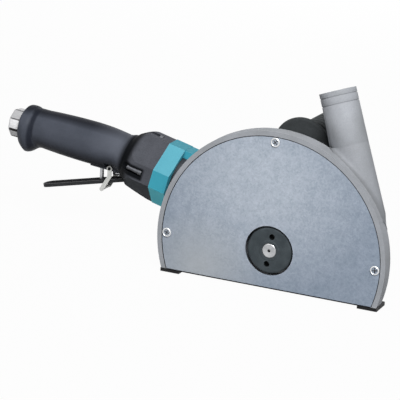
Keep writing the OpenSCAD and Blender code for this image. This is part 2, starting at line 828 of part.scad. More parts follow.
module side_handle_grip() {
  neck_at = side_guard_t * 2;
  swell_at = side_len * 0.4;
  tail_at = side_len - side_grip_r * 0.8;
  tail_r = side_grip_r * 0.97;
  color("#232427")
  side_frame()
    difference() {
      rotate_extrude()
        polygon(concat(
          [[0, 0]],
          [for (i = [0:curve_steps]) let (a = 180 * i / curve_steps - 90)
            [side_guard_r - side_guard_t / 2 * (1 - cos(a)), side_guard_t / 2 * (1 + sin(a))]],
          [for (i = [0:curve_steps]) let (t = i / curve_steps)
            [mix(side_neck_r, side_grip_r, ease(t)), mix(neck_at, swell_at, t)]],
          [for (i = [1:curve_steps]) let (t = i / curve_steps)
            [mix(side_grip_r, tail_r, ease(t)), mix(swell_at, tail_at, t)]],
          [for (i = [1:curve_steps]) let (a = 90 * i / curve_steps)
            [tail_r * cos(a), mix(tail_at, side_len, sin(a))]]
        ));
      translate([0, 0, -cut]) cylinder(r = side_stud_r + fit, h = side_socket + cut);
    }
}

module side_handle_stud() {
  color("silver")
  side_frame()
    translate([0, 0, clear - side_socket]) cylinder(r = side_stud_r, h = 2 * side_socket - 2 * clear);
}

// Spindle and its wheel

module spindle() {
  tip_y = nut_sink - spindle_proud;
  chamfer = spindle_r * 0.1;
  rear_step_y = rear_bearing_y - clear;
  color("#c9cbcd")
  difference() {
    turned_y()
      polygon([
        [0, tip_y], [spindle_r - chamfer, tip_y], [spindle_r, tip_y + chamfer],
        [spindle_r, spindle_step_y], [spindle_seat_r, spindle_step_y],
        [spindle_seat_r, bearing_back_y + clear], [spindle_collar_r, bearing_back_y + clear],
        [spindle_collar_r, cap_flange_y], [spindle_seat_r, cap_flange_y],
        [spindle_seat_r, axis_y - cone_len * cos(wheel_cone)],
        [mix(spindle_rear_r, spindle_seat_r, 0.5), axis_y - cone_len * cos(wheel_cone)],
        [mix(spindle_rear_r, spindle_seat_r, 0.5), rear_step_y], [spindle_rear_r, rear_step_y],
        [spindle_rear_r, rear_bearing_y + small_bearing_w], [0, rear_bearing_y + small_bearing_w]
      ]);
    along_y(tip_y - cut) cylinder(r = spindle_r * 0.2, h = cut + spindle_r * 0.5);
  }
}

module inner_flange() {
  lip = nut_r * 0.3;
  color("#4a4c50")
  along_y(flange_y)
    difference() {
      union() {
        cylinder(r = nut_r, h = flange_t * 0.6);
        cylinder(r = nut_r - lip, h = flange_t);
      }
      translate([0, 0, -cut]) cylinder(r = spindle_r + fit, h = flange_t + 2 * cut);
    }
}

module flange_nut() {
  rim = nut_r * 0.1;
  hub_r = nut_r * 0.45;
  hub_rise = nut_sink * 0.3;
  color("#2b2d30")
  difference() {
    turned_y()
      polygon([
        [spindle_r + fit, nut_sink - hub_rise], [hub_r - hub_rise, nut_sink - hub_rise], [hub_r, nut_sink],
        [nut_r - rim, nut_sink], [nut_r, nut_sink + rim / 2], [nut_r, flange_y - fit],
        [spindle_r + fit, flange_y - fit]
      ]);
    for (side = [-1, 1])
      translate([0, nut_sink - cut, side * nut_pin_pitch / 2])
        along_y(0) cylinder(r = nut_pin_r, h = cut + nut_t * 0.7);
  }
}

// One straight tooth whose edges all run to the cone's apex at the origin, with the axis along Z
module bevel_tooth(teeth, cone) {
  pitch_r = cone_len * sin(cone);
  pitch_z = cone_len * cos(cone);
  pitch = PI * 2 * pitch_r / teeth;
  tip_r = pitch_r + addendum * cos(cone);
  tip_z = pitch_z - addendum * sin(cone);
  low = dedendum + tooth_sink;
  root_r = pitch_r - low * cos(cone);
  root_z = pitch_z + low * sin(cone);
  tip_half = pitch * tooth_tip_share / 2;
  root_half = pitch * tooth_root_share / 2;
  outer = [
    [tip_r, -tip_half, tip_z], [tip_r, tip_half, tip_z],
    [root_r, root_half, root_z], [root_r, -root_half, root_z]
  ];
  polyhedron(
    points = concat(outer, outer * inner_share),
    faces = [[3, 2, 1, 0], [4, 5, 6, 7], [0, 1, 5, 4], [1, 2, 6, 5], [2, 3, 7, 6], [3, 0, 4, 7]]
  );
}

// Toothed cone with a hub behind it, bored through
module bevel_gear(teeth, cone, bore_r, hub_r, back) {
  root_r = cone_len * sin(cone) - dedendum * cos(cone);
  root_z = cone_len * cos(cone) + dedendum * sin(cone);
  heel_z = root_z * blank_out + gear_module * 1.5;
  rotate_extrude()
    polygon([
      [bore_r, root_z * blank_in], [root_r * blank_in, root_z * blank_in],
      [root_r * blank_out, root_z * blank_out], [root_r * blank_out, heel_z],
      [hub_r, heel_z + max(root_r - hub_r, 0) / 2], [hub_r, back], [bore_r, back]
    ]);
  for (i = [0:teeth - 1]) rotate(360 * i / teeth) bevel_tooth(teeth, cone);
}

module bevel_wheel() {
  color("#8b8f94")
  along_y(axis_y) rotate([180, 0, 0]) rotate(180 + motor_tilt + 180 / wheel_teeth)
    bevel_gear(wheel_teeth, wheel_cone, wheel_seat_r, wheel_hub_r, wheel_back);
}

module bevel_pinion() {
  color("#8b8f94")
  on_motor(0) rotate(-90) bevel_gear(pinion_teeth, pinion_cone, pinion_seat_r + fit,
    cone_len * sin(pinion_cone) * 0.78, pinion_end);
}

// Rotor

module rotor() {
  body_l = liner_l + clear;
  body_len = liner_len - 2 * clear;
  tail_end = rear_plate_end - plate_lip;
  color("#9a9ea3")
  on_motor(0)
    difference() {
      union() {
        translate([0, 0, body_l]) cylinder(r = rotor_r, h = body_len);
        translate([0, 0, pinion_end]) cylinder(r = shaft_r, h = tail_end - pinion_end);
        translate([0, 0, cone_len * cos(pinion_cone) * inner_share])
          cylinder(r = pinion_seat_r, h = pinion_end - cone_len * cos(pinion_cone) * inner_share + fit);
      }
      for (i = [0:vane_count - 1])
        rotate(360 * i / vane_count)
          translate([rotor_r - vane_depth, -vane_t / 2 - fit, body_l - cut])
            cube([vane_depth + cut, vane_t + 2 * fit, body_len + 2 * cut]);
    }
}

module rotor_vanes() {
  color("#7a5a36")
  on_motor(liner_l + clear)
    for (i = [0:vane_count - 1])
      rotate(360 * i / vane_count)
        translate([rotor_r - vane_depth + fit, -vane_t / 2, 0])
          cube([vane_depth - clear, vane_t, liner_len - 2 * clear]);
}

// Angle head

module on_cap_screws() {
  for (a = screw_angles) rotate(a) translate([cap_screw_ring_r, 0, 0]) children();
}

module on_head_screws() {
  for (a = screw_angles) rotate(a) translate([head_bolt_ring_r, 0, 0]) children();
}

module gear_head() {
  back_edge = head_r * 0.45;
  color("#8f9194")
  difference() {
    union() {
      turned_y() translate([0, cap_face_y])
        hood_outline(head_r, back_edge, head_end_y - cap_face_y, 0);
      along_y(cap_face_y) cylinder(r = cap_flange_r, h = cap_flange_t);
      on_motor(0) cylinder(r = head_neck_r, h = head_len - fit);
      on_motor(head_len - head_flange_t) cylinder(r = head_flange_r, h = head_flange_t);
    }
    along_y(cap_face_y - cut) cylinder(r = cavity_r, h = rear_bearing_y - head_wall - cap_face_y + cut);
    along_y(rear_bearing_y - head_wall - cut) {
      cylinder(r = small_bearing_r - spindle_rear_r / 2, h = head_wall + 2 * cut);
      translate([0, 0, head_wall + cut]) cylinder(r = small_bearing_r + fit, h = small_bearing_w + fit);
    }
    on_motor(pinion_room_l) cylinder(r = small_bearing_r * 0.94, h = head_len);
    on_motor(pinion_bearing_l) cylinder(r = small_bearing_r + fit, h = head_len);
    along_y(cap_face_y - cut) on_cap_screws() cylinder(r = head_screw_r + fit, h = cut + cap_flange_t * 0.85);
    on_motor(head_len - head_flange_t - cut) on_head_screws()
      cylinder(r = head_bolt_r + fit, h = head_flange_t + 2 * cut);
  }
}

module gear_head_cap() {
  color("#8f9194")
  difference() {
    union() {
      along_y(cap_front_y) cylinder(r = neck_r, h = cap_face_y - cap_front_y);
      along_y(cap_flange_y) cylinder(r = cap_flange_r, h = cap_flange_t - fit);
    }
    along_y(cap_front_y - cut) cylinder(r = seal_r + fit, h = seal_t + 2 * cut);
    along_y(bearing_y) cylinder(r = bearing_r + fit, h = cap_face_y - bearing_y + cut);
    along_y(cap_flange_y - cut) on_cap_screws() cylinder(r = head_screw_r + fit, h = cap_flange_t + 2 * cut);
  }
}

module cap_screws() {
  color("#6b6e72")
  along_y(cap_flange_y) on_cap_screws()
    mirror([0, 0, 1]) cap_screw(head_screw_r, cap_flange_t * 1.7);
}

module spindle_front_bearing() {
  color("#b4b7ba")
  along_y(bearing_y + fit) bearing(bearing_r, spindle_seat_r + fit, bearing_w);
}

module spindle_rear_bearing() {
  color("#b4b7ba")
  along_y(rear_bearing_y + fit / 2) bearing(small_bearing_r, spindle_rear_r + fit, small_bearing_w);
}

module spindle_seal() {
  color("#303134")
  along_y(cap_front_y + fit) ring(seal_r, spindle_seat_r + fit, seal_t);
}

module pinion_bearing() {
  color("#b4b7ba")
  on_motor(pinion_bearing_l + fit) bearing(small_bearing_r, shaft_r + fit, small_bearing_w);
}

module head_screws() {
  color("#6b6e72")
  on_motor(head_len - head_flange_t) on_head_screws()
    mirror([0, 0, 1]) cap_screw(head_bolt_r, head_flange_t + case_flange_t - clear);
}

// Motor

module motor_case() {
  port_l = head_len + case_flange_t * 1.6;
  port_len = end_plate_t * 0.9;
  port_w = case_r * 0.16;
  color("#4b4e52")
  difference() {
    union() {
      on_motor(head_len) cylinder(r = head_flange_r, h = case_flange_t);
      on_motor(head_len) cylinder(r = case_r, h = case_len);
    }
    on_motor(head_len - cut) cylinder(r = case_bore_r, h = case_len + 2 * cut);
    on_motor(head_len - cut) on_head_screws() cylinder(r = head_bolt_r + fit, h = case_flange_t + 2 * cut);
    for (a = [60:15:120])
      on_motor(port_l) rotate(a) translate([case_bore_r - cut, -port_w / 2, 0])
        cube([case_wall + 2 * cut, port_w, port_len]);
  }
}

module end_plate(lip) {
  difference() {
    cylinder(r = case_bore_r - fit, h = end_plate_t);
    translate([0, 0, -cut]) cylinder(r = shaft_r * 1.2, h = end_plate_t + 2 * cut);
    translate([0, 0, lip]) cylinder(r = small_bearing_r + fit, h = end_plate_t);
  }
}

module front_end_plate() {
  color("#6f5b3a")
  on_motor(head_len + fit) end_plate(plate_lip);
}

module rear_end_plate() {
  color("#6f5b3a")
  on_motor(rear_plate_end) mirror([0, 0, 1]) end_plate(plate_lip);
}

module rotor_front_bearing() {
  color("#b4b7ba")
  on_motor(head_len + plate_lip + 2 * fit) bearing(small_bearing_r, shaft_r + fit, small_bearing_w);
}

module rotor_rear_bearing() {
  color("#b4b7ba")
  on_motor(rear_plate_end - plate_lip - small_bearing_w - fit)
    bearing(small_bearing_r, shaft_r + fit, small_bearing_w);
}

module cylinder_liner() {
  color("#868a8e")
  on_motor(liner_l + fit)
    difference() {
      cylinder(r = case_bore_r - fit, h = liner_len - 2 * fit);
      translate([liner_offset, 0, -cut]) cylinder(r = liner_bore_r, h = liner_len + 2 * cut);
    }
}

module on_housing_bolts(angles = bolt_angles) {
  for (a = angles) rotate(a) translate([bolt_ring_r, 0, 0]) children();
}

module head_collar() {
  tongue_half_w = (sqrt(2) * collar_diag - collar_flat) * 0.97;
  color("#2fa3b7")
  difference() {
    union() {
      on_motor(collar_l) linear_extrude(collar_w - fit) octagon(collar_flat, collar_diag);
      on_motor(collar_l - tongue_len)
        translate([case_bore_r, -tongue_half_w, 0])
          cube([collar_flat - rear_step / 2 - case_bore_r, 2 * tongue_half_w, tongue_len + cut]);
    }
    on_motor(0) cylinder(r = case_r + fit, h = case_end + cut);
    on_motor(collar_l + collar_w * 0.25) on_housing_bolts() cylinder(r = bolt_r + fit, h = collar_w);
  }
}

// Rear housing: an eight-sided body that is turned down to a neck and runs on as the grip's core

module lever_axis(x, z) { translate([x, axis_y, z]) rotate([-90, 0, 0]) children(); }

module rear_body() {
  difference() {
    intersection() {
      on_motor(rear_l + fit) linear_extrude(2 * bend_back) octagon(rear_flat, rear_diag);
      on_motor(0) rotate_extrude()
        polygon(concat(
          [[0, rear_l], [rear_corner_r, rear_l]],
          [for (i = [0:shoulder_steps]) let (l = mix(shoulder_l, grip_l - fit, i / shoulder_steps))
            [shoulder_at(l), l]],
          [[0, grip_l - fit]]
        ));
      on_motor(collar_l) rotate([0, underside_tilt, 0])
        translate([0, 0, -collar_w]) cylinder(r = underside_r, h = far);
    }
    on_motor(trough_l) on_housing_bolts() cylinder(r = trough_r, h = trough_len);
    lever_slot();
  }
}

// Room for the latch's eyes and cheeks in the underside of the grip sleeve
module latch_notch() {
  on_grip(latch_at - notch_half_len)
    translate([-far - latch_drop + 2 * latch_eye_r, -notch_half_w, 0])
      cube([far, 2 * notch_half_w, 2 * notch_half_len]);
}

// Slot in the underside that the lever's front end swings in
module lever_slot() {
  room = knuckle_r + 2 * clear;
  half_w = lever_half_w + clear;
  on_motor(lever_l - room)
    translate([-lever_drop - 3 * knuckle_r, -half_w, 0])
      cube([3 * knuckle_r + room, 2 * half_w, shoulder_end - lever_l + room]);
}

// Block under the grip's core that carries the valve and the latch
module throttle_block() {
  block_start = grip_start - cut * 1.6;
  on_grip(block_start)
    translate([-block_depth, -block_half_w, 0])
      cube([block_depth, 2 * block_half_w, block_end - block_start]);
}

module rear_housing() {
  spigot_l = rear_plate_end + fit;
  chamber_r = case_bore_r * 0.85;
  chamber_end = rear_l + trough_at;
  duct_end_x = -(chamber_end - cut) * cos(motor_tilt);
  color("#2a2c2f")
  difference() {
    union() {
      rear_body();
      on_motor(spigot_l) cylinder(r = case_bore_r - fit, h = rear_l - spigot_l + cut);
      on_grip(core_start) cylinder(r = core_r, h = core_end - core_start);
      throttle_block();
    }
    on_motor(spigot_l - cut) cylinder(r = chamber_r, h = chamber_end - spigot_l + cut);
    on_motor(0) on_housing_bolts() cylinder(r = bolt_r + fit, h = trough_l + cut);
    on_grip(valve_at) cylinder(r = air_r, h = core_end);
    on_grip(core_end - inlet_shank_len) cylinder(r = inlet_shank_r + fit, h = inlet_shank_len + cut);
    on_valve(bushing_low - block_depth) cylinder(r = valve_bore_r + fit, h = block_depth + spring_top - bushing_low);
    on_valve(duct_z) rotate([0, 90, 0]) cylinder(r = duct_r, h = duct_end_x - valve_x);
    lever_axis(pivot_x, pivot_z) {
      cylinder(r = lever_pin_r + fit, h = far, center = true);
      for (side = [0, 1])
        mirror([0, 0, side]) translate([0, 0, lever_pin_span]) cylinder(r = lever_pin_r * 1.7, h = far);
    }
    lever_axis(latch_x, latch_z) cylinder(r = latch_pin_r + fit, h = far, center = true);
  }
}

module housing_bolts() {
  color("#5c6066")
  on_motor(bolt_seat_l) {
    on_housing_bolts() cap_screw(bolt_r, bolt_seat_l - collar_l - collar_w * 0.3);
    on_housing_bolts(side_bolt_angles) cylinder(r = barrel_r, h = barrel_len);
  }
}

// Grip

// Front of the sleeve, which goes on with the housing's shoulder and sinks into the barrel
module grip_front() {
  on_motor(0) rotate_extrude()
    polygon(concat(
      [[0, grip_l]],
      [for (i = [0:shoulder_steps]) let (l = mix(grip_l, shoulder_end, i / shoulder_steps))
        [shoulder_at(l), l]],
      [[core_r, shoulder_end + shoulder_len / 6], [0, shoulder_end + shoulder_len / 6]]
    ));
}

module grip_barrel() {
  front_s = grip_l - bend_l;
  waist_s = grip_len - waist_back;
  flare_s = grip_len - flare_back;
  on_grip(0) translate([grip_rise, 0, 0]) rotate_extrude()
    polygon(concat(
      [[0, front_s]],
      [for (i = [0:curve_steps]) let (t = i / curve_steps)
        [mix(grip_front_r, grip_belly_r, 1 - pow(1 - t, 2)), mix(front_s, belly_at, t)]],
      [for (i = [1:curve_steps]) let (t = i / curve_steps)
        [mix(grip_belly_r, grip_waist_r, t * t), mix(belly_at, waist_s, t)]],
      [[grip_waist_r, flare_s], [0, flare_s]]
    ));
}

module grip_flare() {
  waist_s = grip_len - waist_back;
  flare_s = grip_len - flare_back;
  on_grip(0) translate([-flare_drop, 0, 0]) rotate_extrude()
    polygon(concat(
      [[0, waist_s]],
      [for (i = [0:curve_steps]) let (t = i / curve_steps)
        [mix(flare_root_r, grip_flare_r, ease(t)), mix(waist_s, flare_s, t)]],
      [for (i = [1:curve_steps]) let (a = 90 * i / curve_steps)
        [mix(grip_end_r, grip_flare_r, cos(a)), mix(flare_s, grip_len, sin(a))]],
      [[0, grip_len]]
    ));
}

module grip_sleeve() {
  room_half_w = block_half_w + clear;
  color("#2f3136")
  difference() {
    union() {
      grip_front();
      grip_barrel();
      grip_flare();
    }
    on_motor(0) cylinder(r = 2 * rear_flat, h = grip_l);
    on_grip(core_start) cylinder(r = core_r + fit, h = grip_len - core_start + cut);
    on_grip(core_start)
      translate([-far, -room_half_w, 0]) cube([far, 2 * room_half_w, block_end + clear - core_start]);
    latch_notch();
  }
}

module air_inlet() {
  hex_len = inlet_end - core_end;
  corner_r = inlet_flat / cos(30);
  color("silver")
  on_grip(core_end + fit)
    difference() {
      union() {
        intersection() {
          cylinder(r = corner_r, h = hex_len, $fn = 6);
          rotate_extrude()
            polygon([
              [0, 0], [corner_r + fit, 0], [corner_r + fit, hex_len - (corner_r - inlet_flat)],
              [inlet_flat * 0.96, hex_len], [0, hex_len]
            ]);
        }
        translate([0, 0, -inlet_shank_len]) cylinder(r = inlet_shank_r, h = inlet_shank_len + fit);
      }
      translate([0, 0, hex_len - inlet_bore_len]) cylinder(r = inlet_bore_r, h = inlet_bore_len + cut);
      translate([0, 0, -inlet_shank_len - cut]) cylinder(r = air_r, h = inlet_shank_len + hex_len);
    }
}

// Throttle valve

module valve_bushing() {
  color("#b39450")
  on_valve(bushing_low) ring(valve_bore_r, valve_pin_r + fit, bushing_top - bushing_low);
}

module valve_seat() {
  color("#303134")
  on_valve(seat_low) ring(valve_bore_r, valve_seat_r, seat_top - seat_low);
}

// Points of one ring of the spring's wire, square to the helix
function spring_ring(i, n, rise) =
  let (a = 360 * spring_turns * i / n, z = spring_wire_r + rise * i / n)
  [for (k = [0:5]) let (b = 60 * k)
    [(spring_r + spring_wire_r * cos(b)) * cos(a), (spring_r + spring_wire_r * cos(b)) * sin(a),
      z + spring_wire_r * sin(b)]];

module valve_spring() {
  n = 8 * spring_turns;
  rise = spring_top - spring_low - 2 * spring_wire_r - clear;
  points = [for (i = [0:n]) each spring_ring(i, n, rise)];
  last = 6 * n;
  faces = concat(
    [[0, 1, 2, 3, 4, 5], [for (k = [5:-1:0]) last + k]],
    [for (i = [0:n - 1]) for (k = [0:5]) [6 * i + k, 6 * i + 6 + k, 6 * i + (k + 1) % 6]],
    [for (i = [0:n - 1]) for (k = [0:5]) [6 * i + 6 + k, 6 * i + 6 + (k + 1) % 6, 6 * i + (k + 1) % 6]]
  );
  color("#9fa3a7")
  on_valve(spring_low) polyhedron(points = points, faces = faces);
}

module valve_pin() {
  color("#c4c6c8")
  union() {
    on_valve(pin_tip + valve_pin_r) cylinder(r = valve_pin_r, h = head_low - pin_tip - valve_pin_r + fit);
    on_valve(pin_tip + valve_pin_r) sphere(r = valve_pin_r);
    on_valve(head_low) cylinder(r = valve_head_r, h = head_top - head_low);
  }
}

// Lever: a pressed channel with a knuckle at its front end

module on_lever() { translate([pivot_x, axis_y, pivot_z]) rotate([0, -lever_slope, 0]) children(); }

module lever_outline(inset) {
  end_r = lever_half_w - inset;
  tail = lever_len - end_r - inset;
  translate([-tail, 0]) circle(r = end_r);
  translate([-tail, -end_r]) square([tail, 2 * end_r]);
}

module throttle_lever() {
  channel_from = knuckle_r + lever_sheet;
  color("#222326")
  on_lever()
    difference() {
      union() {
        translate([0, 0, -lever_offset - lever_t / 2]) linear_extrude(lever_t) lever_outline(0);
        rotate([90, 0, 0]) cylinder(r = knuckle_r, h = 2 * lever_half_w, center = true);
      }
      translate([0, 0, lever_sheet - lever_offset - lever_t / 2])
        linear_extrude(lever_t)
          intersection() {
            lever_outline(lever_sheet);
            translate([-far - channel_from, -far / 2]) square(far);
          }
      rotate([90, 0, 0]) cylinder(r = lever_pin_r + fit, h = far, center = true);
    }
}

module lever_pin() {
  color("#a0a3a6")
  lever_axis(pivot_x, pivot_z) cylinder(r = lever_pin_r, h = 2 * lever_pin_span, center = true);
}

// Latch: two bent cheeks beside the lever, joined by a bar under it

module latch_cheek() {
  difference() {
    union() {
      circle(r = latch_eye_r);
      translate([-latch_half_w, -latch_upper]) square([2 * latch_half_w, latch_upper]);
      translate([0, -latch_upper]) {
        circle(r = latch_half_w);
        rotate(-latch_bend) translate([-latch_half_w, -latch_tail]) square([2 * latch_half_w, latch_tail]);
        rotate(-latch_bend) translate([0, -latch_tail]) circle(r = latch_half_w);
      }
    }
    circle(r = latch_pin_r + fit);
  }
}

module safety_latch() {
  bar_r = latch_half_w * 0.8;
  color("#d5d6d4")
  translate([latch_x, axis_y, latch_z]) {
    for (side = [-1, 1])
      plate_y(side > 0 ? latch_gap : -latch_half_span, latch_sheet) latch_cheek();
    translate([0, 0, -latch_upper]) rotate([0, latch_bend, 0]) translate([0, 0, -latch_tail])
      rotate([90, 0, 0]) cylinder(r = bar_r, h = 2 * latch_gap + latch_sheet, center = true);
  }
}

module latch_pin() {
  color("#18191b")
  lever_axis(latch_x, latch_z) cylinder(r = latch_pin_r, h = 2 * latch_half_span + 2 * clear, center = true);
}

hood_shell();
dust_spout();
hood_plate();
plate_screws();
left_shoe();
right_shoe();
shoe_screws();
clamp_collar();
clamp_flange_screws();
clamp_screw();
side_handle_grip();
side_handle_stud();
spindle();
inner_flange();
flange_nut();
bevel_wheel();
rotor();
rotor_vanes();
bevel_pinion();
gear_head();
gear_head_cap();
cap_screws();
spindle_front_bearing();
spindle_rear_bearing();
spindle_seal();
pinion_bearing();
head_screws();
motor_case();
front_end_plate();
rear_end_plate();
rotor_front_bearing();
rotor_rear_bearing();
cylinder_liner();
head_collar();
rear_housing();
housing_bolts();
grip_sleeve();
air_inlet();
valve_bushing();
valve_seat();
valve_spring();
valve_pin();
throttle_lever();
lever_pin();
safety_latch();
latch_pin();
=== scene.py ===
# %% [markdown]
# # A pneumatic cut off tool
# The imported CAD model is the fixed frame: every object is in metres, in the same place as the solids.
# This lesson sets up the camera and the light, paints the solids, softens their edges, reshapes some of
# the softened copies, and models the plate screws, the side handle and the air inlet anew.

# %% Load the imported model
import json
from math import cos, hypot, pi, radians, sin, sqrt

import bpy
from mathutils import Matrix, Vector

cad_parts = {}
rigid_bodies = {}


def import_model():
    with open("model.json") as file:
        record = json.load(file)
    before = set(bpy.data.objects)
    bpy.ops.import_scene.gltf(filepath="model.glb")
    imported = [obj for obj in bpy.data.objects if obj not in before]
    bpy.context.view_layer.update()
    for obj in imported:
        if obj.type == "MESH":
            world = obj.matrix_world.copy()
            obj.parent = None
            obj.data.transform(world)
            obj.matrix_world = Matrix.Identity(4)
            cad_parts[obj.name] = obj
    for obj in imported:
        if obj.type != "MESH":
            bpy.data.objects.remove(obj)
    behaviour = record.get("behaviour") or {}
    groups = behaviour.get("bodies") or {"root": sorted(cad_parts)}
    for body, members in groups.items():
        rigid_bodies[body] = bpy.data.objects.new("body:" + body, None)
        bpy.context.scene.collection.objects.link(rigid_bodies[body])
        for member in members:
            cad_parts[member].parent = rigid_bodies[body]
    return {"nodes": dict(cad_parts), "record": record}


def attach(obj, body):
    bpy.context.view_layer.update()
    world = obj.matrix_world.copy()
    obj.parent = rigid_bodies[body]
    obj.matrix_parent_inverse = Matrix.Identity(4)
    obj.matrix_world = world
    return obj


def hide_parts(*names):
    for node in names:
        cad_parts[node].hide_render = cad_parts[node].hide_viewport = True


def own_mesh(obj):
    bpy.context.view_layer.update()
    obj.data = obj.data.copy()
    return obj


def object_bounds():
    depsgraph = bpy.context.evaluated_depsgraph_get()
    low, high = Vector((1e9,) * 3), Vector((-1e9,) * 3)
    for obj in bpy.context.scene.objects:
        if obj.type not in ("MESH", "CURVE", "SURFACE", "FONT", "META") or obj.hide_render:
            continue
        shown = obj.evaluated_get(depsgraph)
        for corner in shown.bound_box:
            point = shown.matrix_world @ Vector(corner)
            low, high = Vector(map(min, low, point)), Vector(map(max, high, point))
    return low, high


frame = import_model()
cad_low, cad_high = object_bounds()
scene = bpy.context.scene
scene.view_settings.view_transform = "Standard"
print("nodes loaded:", len(frame["nodes"]))
print("CAD box:", [round(v, 4) for v in cad_low], [round(v, 4) for v in cad_high])

# %% [markdown]
# ## The camera
# The photograph was taken from the front, a little from the right and above, with a long lens. A camera
# can be placed by eye, but here its direction comes from three angles that were measured on the hood's
# round rim, so that the render can be laid over the photograph.

# %% Camera at the photograph's angle
side_angle = radians(23.33)
height_angle = radians(16.64)
roll_angle = radians(2.99)
camera_distance = 2.163
focal_length = 187.9
aim = Vector((-0.0796, 0.0, 0.0414))
view_line = Vector(
    (
        -sin(side_angle) * cos(height_angle),
        cos(side_angle) * cos(height_angle),
        -sin(height_angle),
    )
)
lens = bpy.data.cameras.new("photo_camera")
lens.sensor_width = 36
lens.lens = focal_length
lens.clip_end = 20
camera = bpy.data.objects.new("photo_camera", lens)
scene.collection.objects.link(camera)
stand = Matrix.Translation(aim - view_line * camera_distance)
turn = view_line.to_track_quat("-Z", "Y").to_matrix().to_4x4()
camera.matrix_world = stand @ turn @ Matrix.Rotation(roll_angle, 4, "Z")
scene.camera = camera
print("camera at", [round(v, 3) for v in camera.location])

# %% [markdown]
# ## The light
# An even white sky would make every facet equally bright. So the world is white for the camera and for
# reflections, and much dimmer for the light that it throws on the tool, which is left to the lamps.

# %% White world
def add_node(tree, kind):
    """Adds a shader node."""
    return tree.nodes.new("ShaderNode" + kind)


def arithmetic(tree, operation, first, second=0.0):
    """One Math node on a socket and a number or a second socket."""
    node = add_node(tree, "Math")
    node.operation = operation
    tree.links.new(first, node.inputs[0])
    if isinstance(second, float):
        node.inputs[1].default_value = second
    else:
        tree.links.new(second, node.inputs[1])
    return node.outputs[0]


def seen_share(tree):
    """One for the rays that show the surroundings: the camera's, and those off metal and through glass."""
    rays = add_node(tree, "LightPath")
    seen = arithmetic(tree, "MAXIMUM", rays.outputs["Is Camera Ray"], rays.outputs["Is Glossy Ray"])
    return arithmetic(tree, "MAXIMUM", seen, rays.outputs["Is Transmission Ray"])


lit_level, seen_level = 0.09, 1.0
world = bpy.data.worlds.new("white_studio")
scene.world = world
world.use_nodes = True
tree = world.node_tree
backdrop = tree.nodes["Background"]
backdrop.inputs["Color"].default_value = (1, 1, 1, 1)
level = add_node(tree, "MapRange")
level.inputs["To Min"].default_value = lit_level
level.inputs["To Max"].default_value = seen_level
tree.links.new(seen_share(tree), level.inputs["Value"])
tree.links.new(level.outputs["Result"], backdrop.inputs["Strength"])
print("world nodes:", len(tree.nodes))

# %% [markdown]
# ## The lamps
# A single hard lamp would give black shadows. One large soft lamp stands in front and above, a small one on
# the left draws the band of light along the grip, and two more light the side and the back.

# %% Four soft lamps
lamp_target = Vector((-0.1, 0.05, 0.05))


def soft_lamp(name, place, size, power):
    """Adds a square area lamp that looks at the middle of the tool."""
    data = bpy.data.lights.new(name, "AREA")
    data.shape = "SQUARE"
    data.size = size
    data.energy = power
    lamp = bpy.data.objects.new(name, data)
    scene.collection.objects.link(lamp)
    lamp.location = place
    lamp.rotation_euler = (lamp_target - Vector(place)).to_track_quat("-Z", "Y").to_euler()
    return lamp


soft_lamp("key_lamp", (0.75, -1.2, 1.45), size=0.8, power=50)
soft_lamp("strip_lamp", (-0.9, -1.65, 0.8), size=0.6, power=5)
soft_lamp("fill_lamp", (1.5, -0.5, 0.5), size=1.0, power=1.5)
rear_lamp = soft_lamp("rear_lamp", (-0.5, 1.75, 0.45), size=1.0, power=24)
rear_lamp.visible_glossy = False

# %% [markdown]
# ## The floor
# The tool stands on its two shoes. A large pale square under them catches the soft shadow. To the camera
# most of its white is its own glow, so that it meets the white world without an edge.

# %% Pale floor
floor_size, floor_gap = 6, 0.0002
floor_tone, floor_glow = 0.32, 0.97
floor_z = cad_low.z - floor_gap
bpy.ops.object.select_all(action="DESELECT")
bpy.ops.mesh.primitive_plane_add(size=floor_size, location=(0, 0, floor_z))
floor = bpy.context.active_object
floor.name = "pale_floor"
bpy.ops.object.transform_apply()
floor_paint = bpy.data.materials.new("pale_floor_paint")
floor_paint.use_nodes = True
tree = floor_paint.node_tree
tree.nodes.clear()
out = add_node(tree, "OutputMaterial")
matt = add_node(tree, "BsdfDiffuse")
matt.inputs["Color"].default_value = (floor_tone, floor_tone, floor_tone, 1)
glow = add_node(tree, "Emission")
glow.inputs["Strength"].default_value = 1.0
blend = add_node(tree, "MixShader")
tree.links.new(arithmetic(tree, "MULTIPLY", seen_share(tree), floor_glow), blend.inputs["Fac"])
tree.links.new(matt.outputs[0], blend.inputs[1])
tree.links.new(glow.outputs[0], blend.inputs[2])
tree.links.new(blend.outputs[0], out.inputs["Surface"])
floor.data.materials.append(floor_paint)
print("floor at z", round(floor_z, 4))

# %% [markdown]
# ## How a finish is made
# No real surface has one flat colour. Each finish here mixes two tones with a soft noise, adds a fine
# grain, wears to a third tone along the edges, and takes its roughness and its small bumps from noise as
# well. All noises lie on Object coordinates, so they stay with the piece in any view.

# %% Small helpers for nodes
def tone(red, green, blue):
    """Turns a colour of 0 to 255, as a screen shows it, into the linear colour that a shader needs."""
    values = []
    for part in (red, green, blue):
        part = part / 255
        values.append(part / 12.92 if part <= 0.04045 else ((part + 0.055) / 1.055) ** 2.4)
    return (*values, 1.0)


def noise_field(tree, vector, scale, detail=3.0, stretch=None):
    """A noise on Object coordinates, drawn out along an axis where stretch is given."""
    if stretch is not None:
        mapping = add_node(tree, "Mapping")
        mapping.inputs["Scale"].default_value = stretch
        tree.links.new(vector, mapping.inputs["Vector"])
        vector = mapping.outputs["Vector"]
    noise = add_node(tree, "TexNoise")
    noise.inputs["Scale"].default_value = scale
    noise.inputs["Detail"].default_value = detail
    tree.links.new(vector, noise.inputs["Vector"])
    return noise.outputs["Fac"]


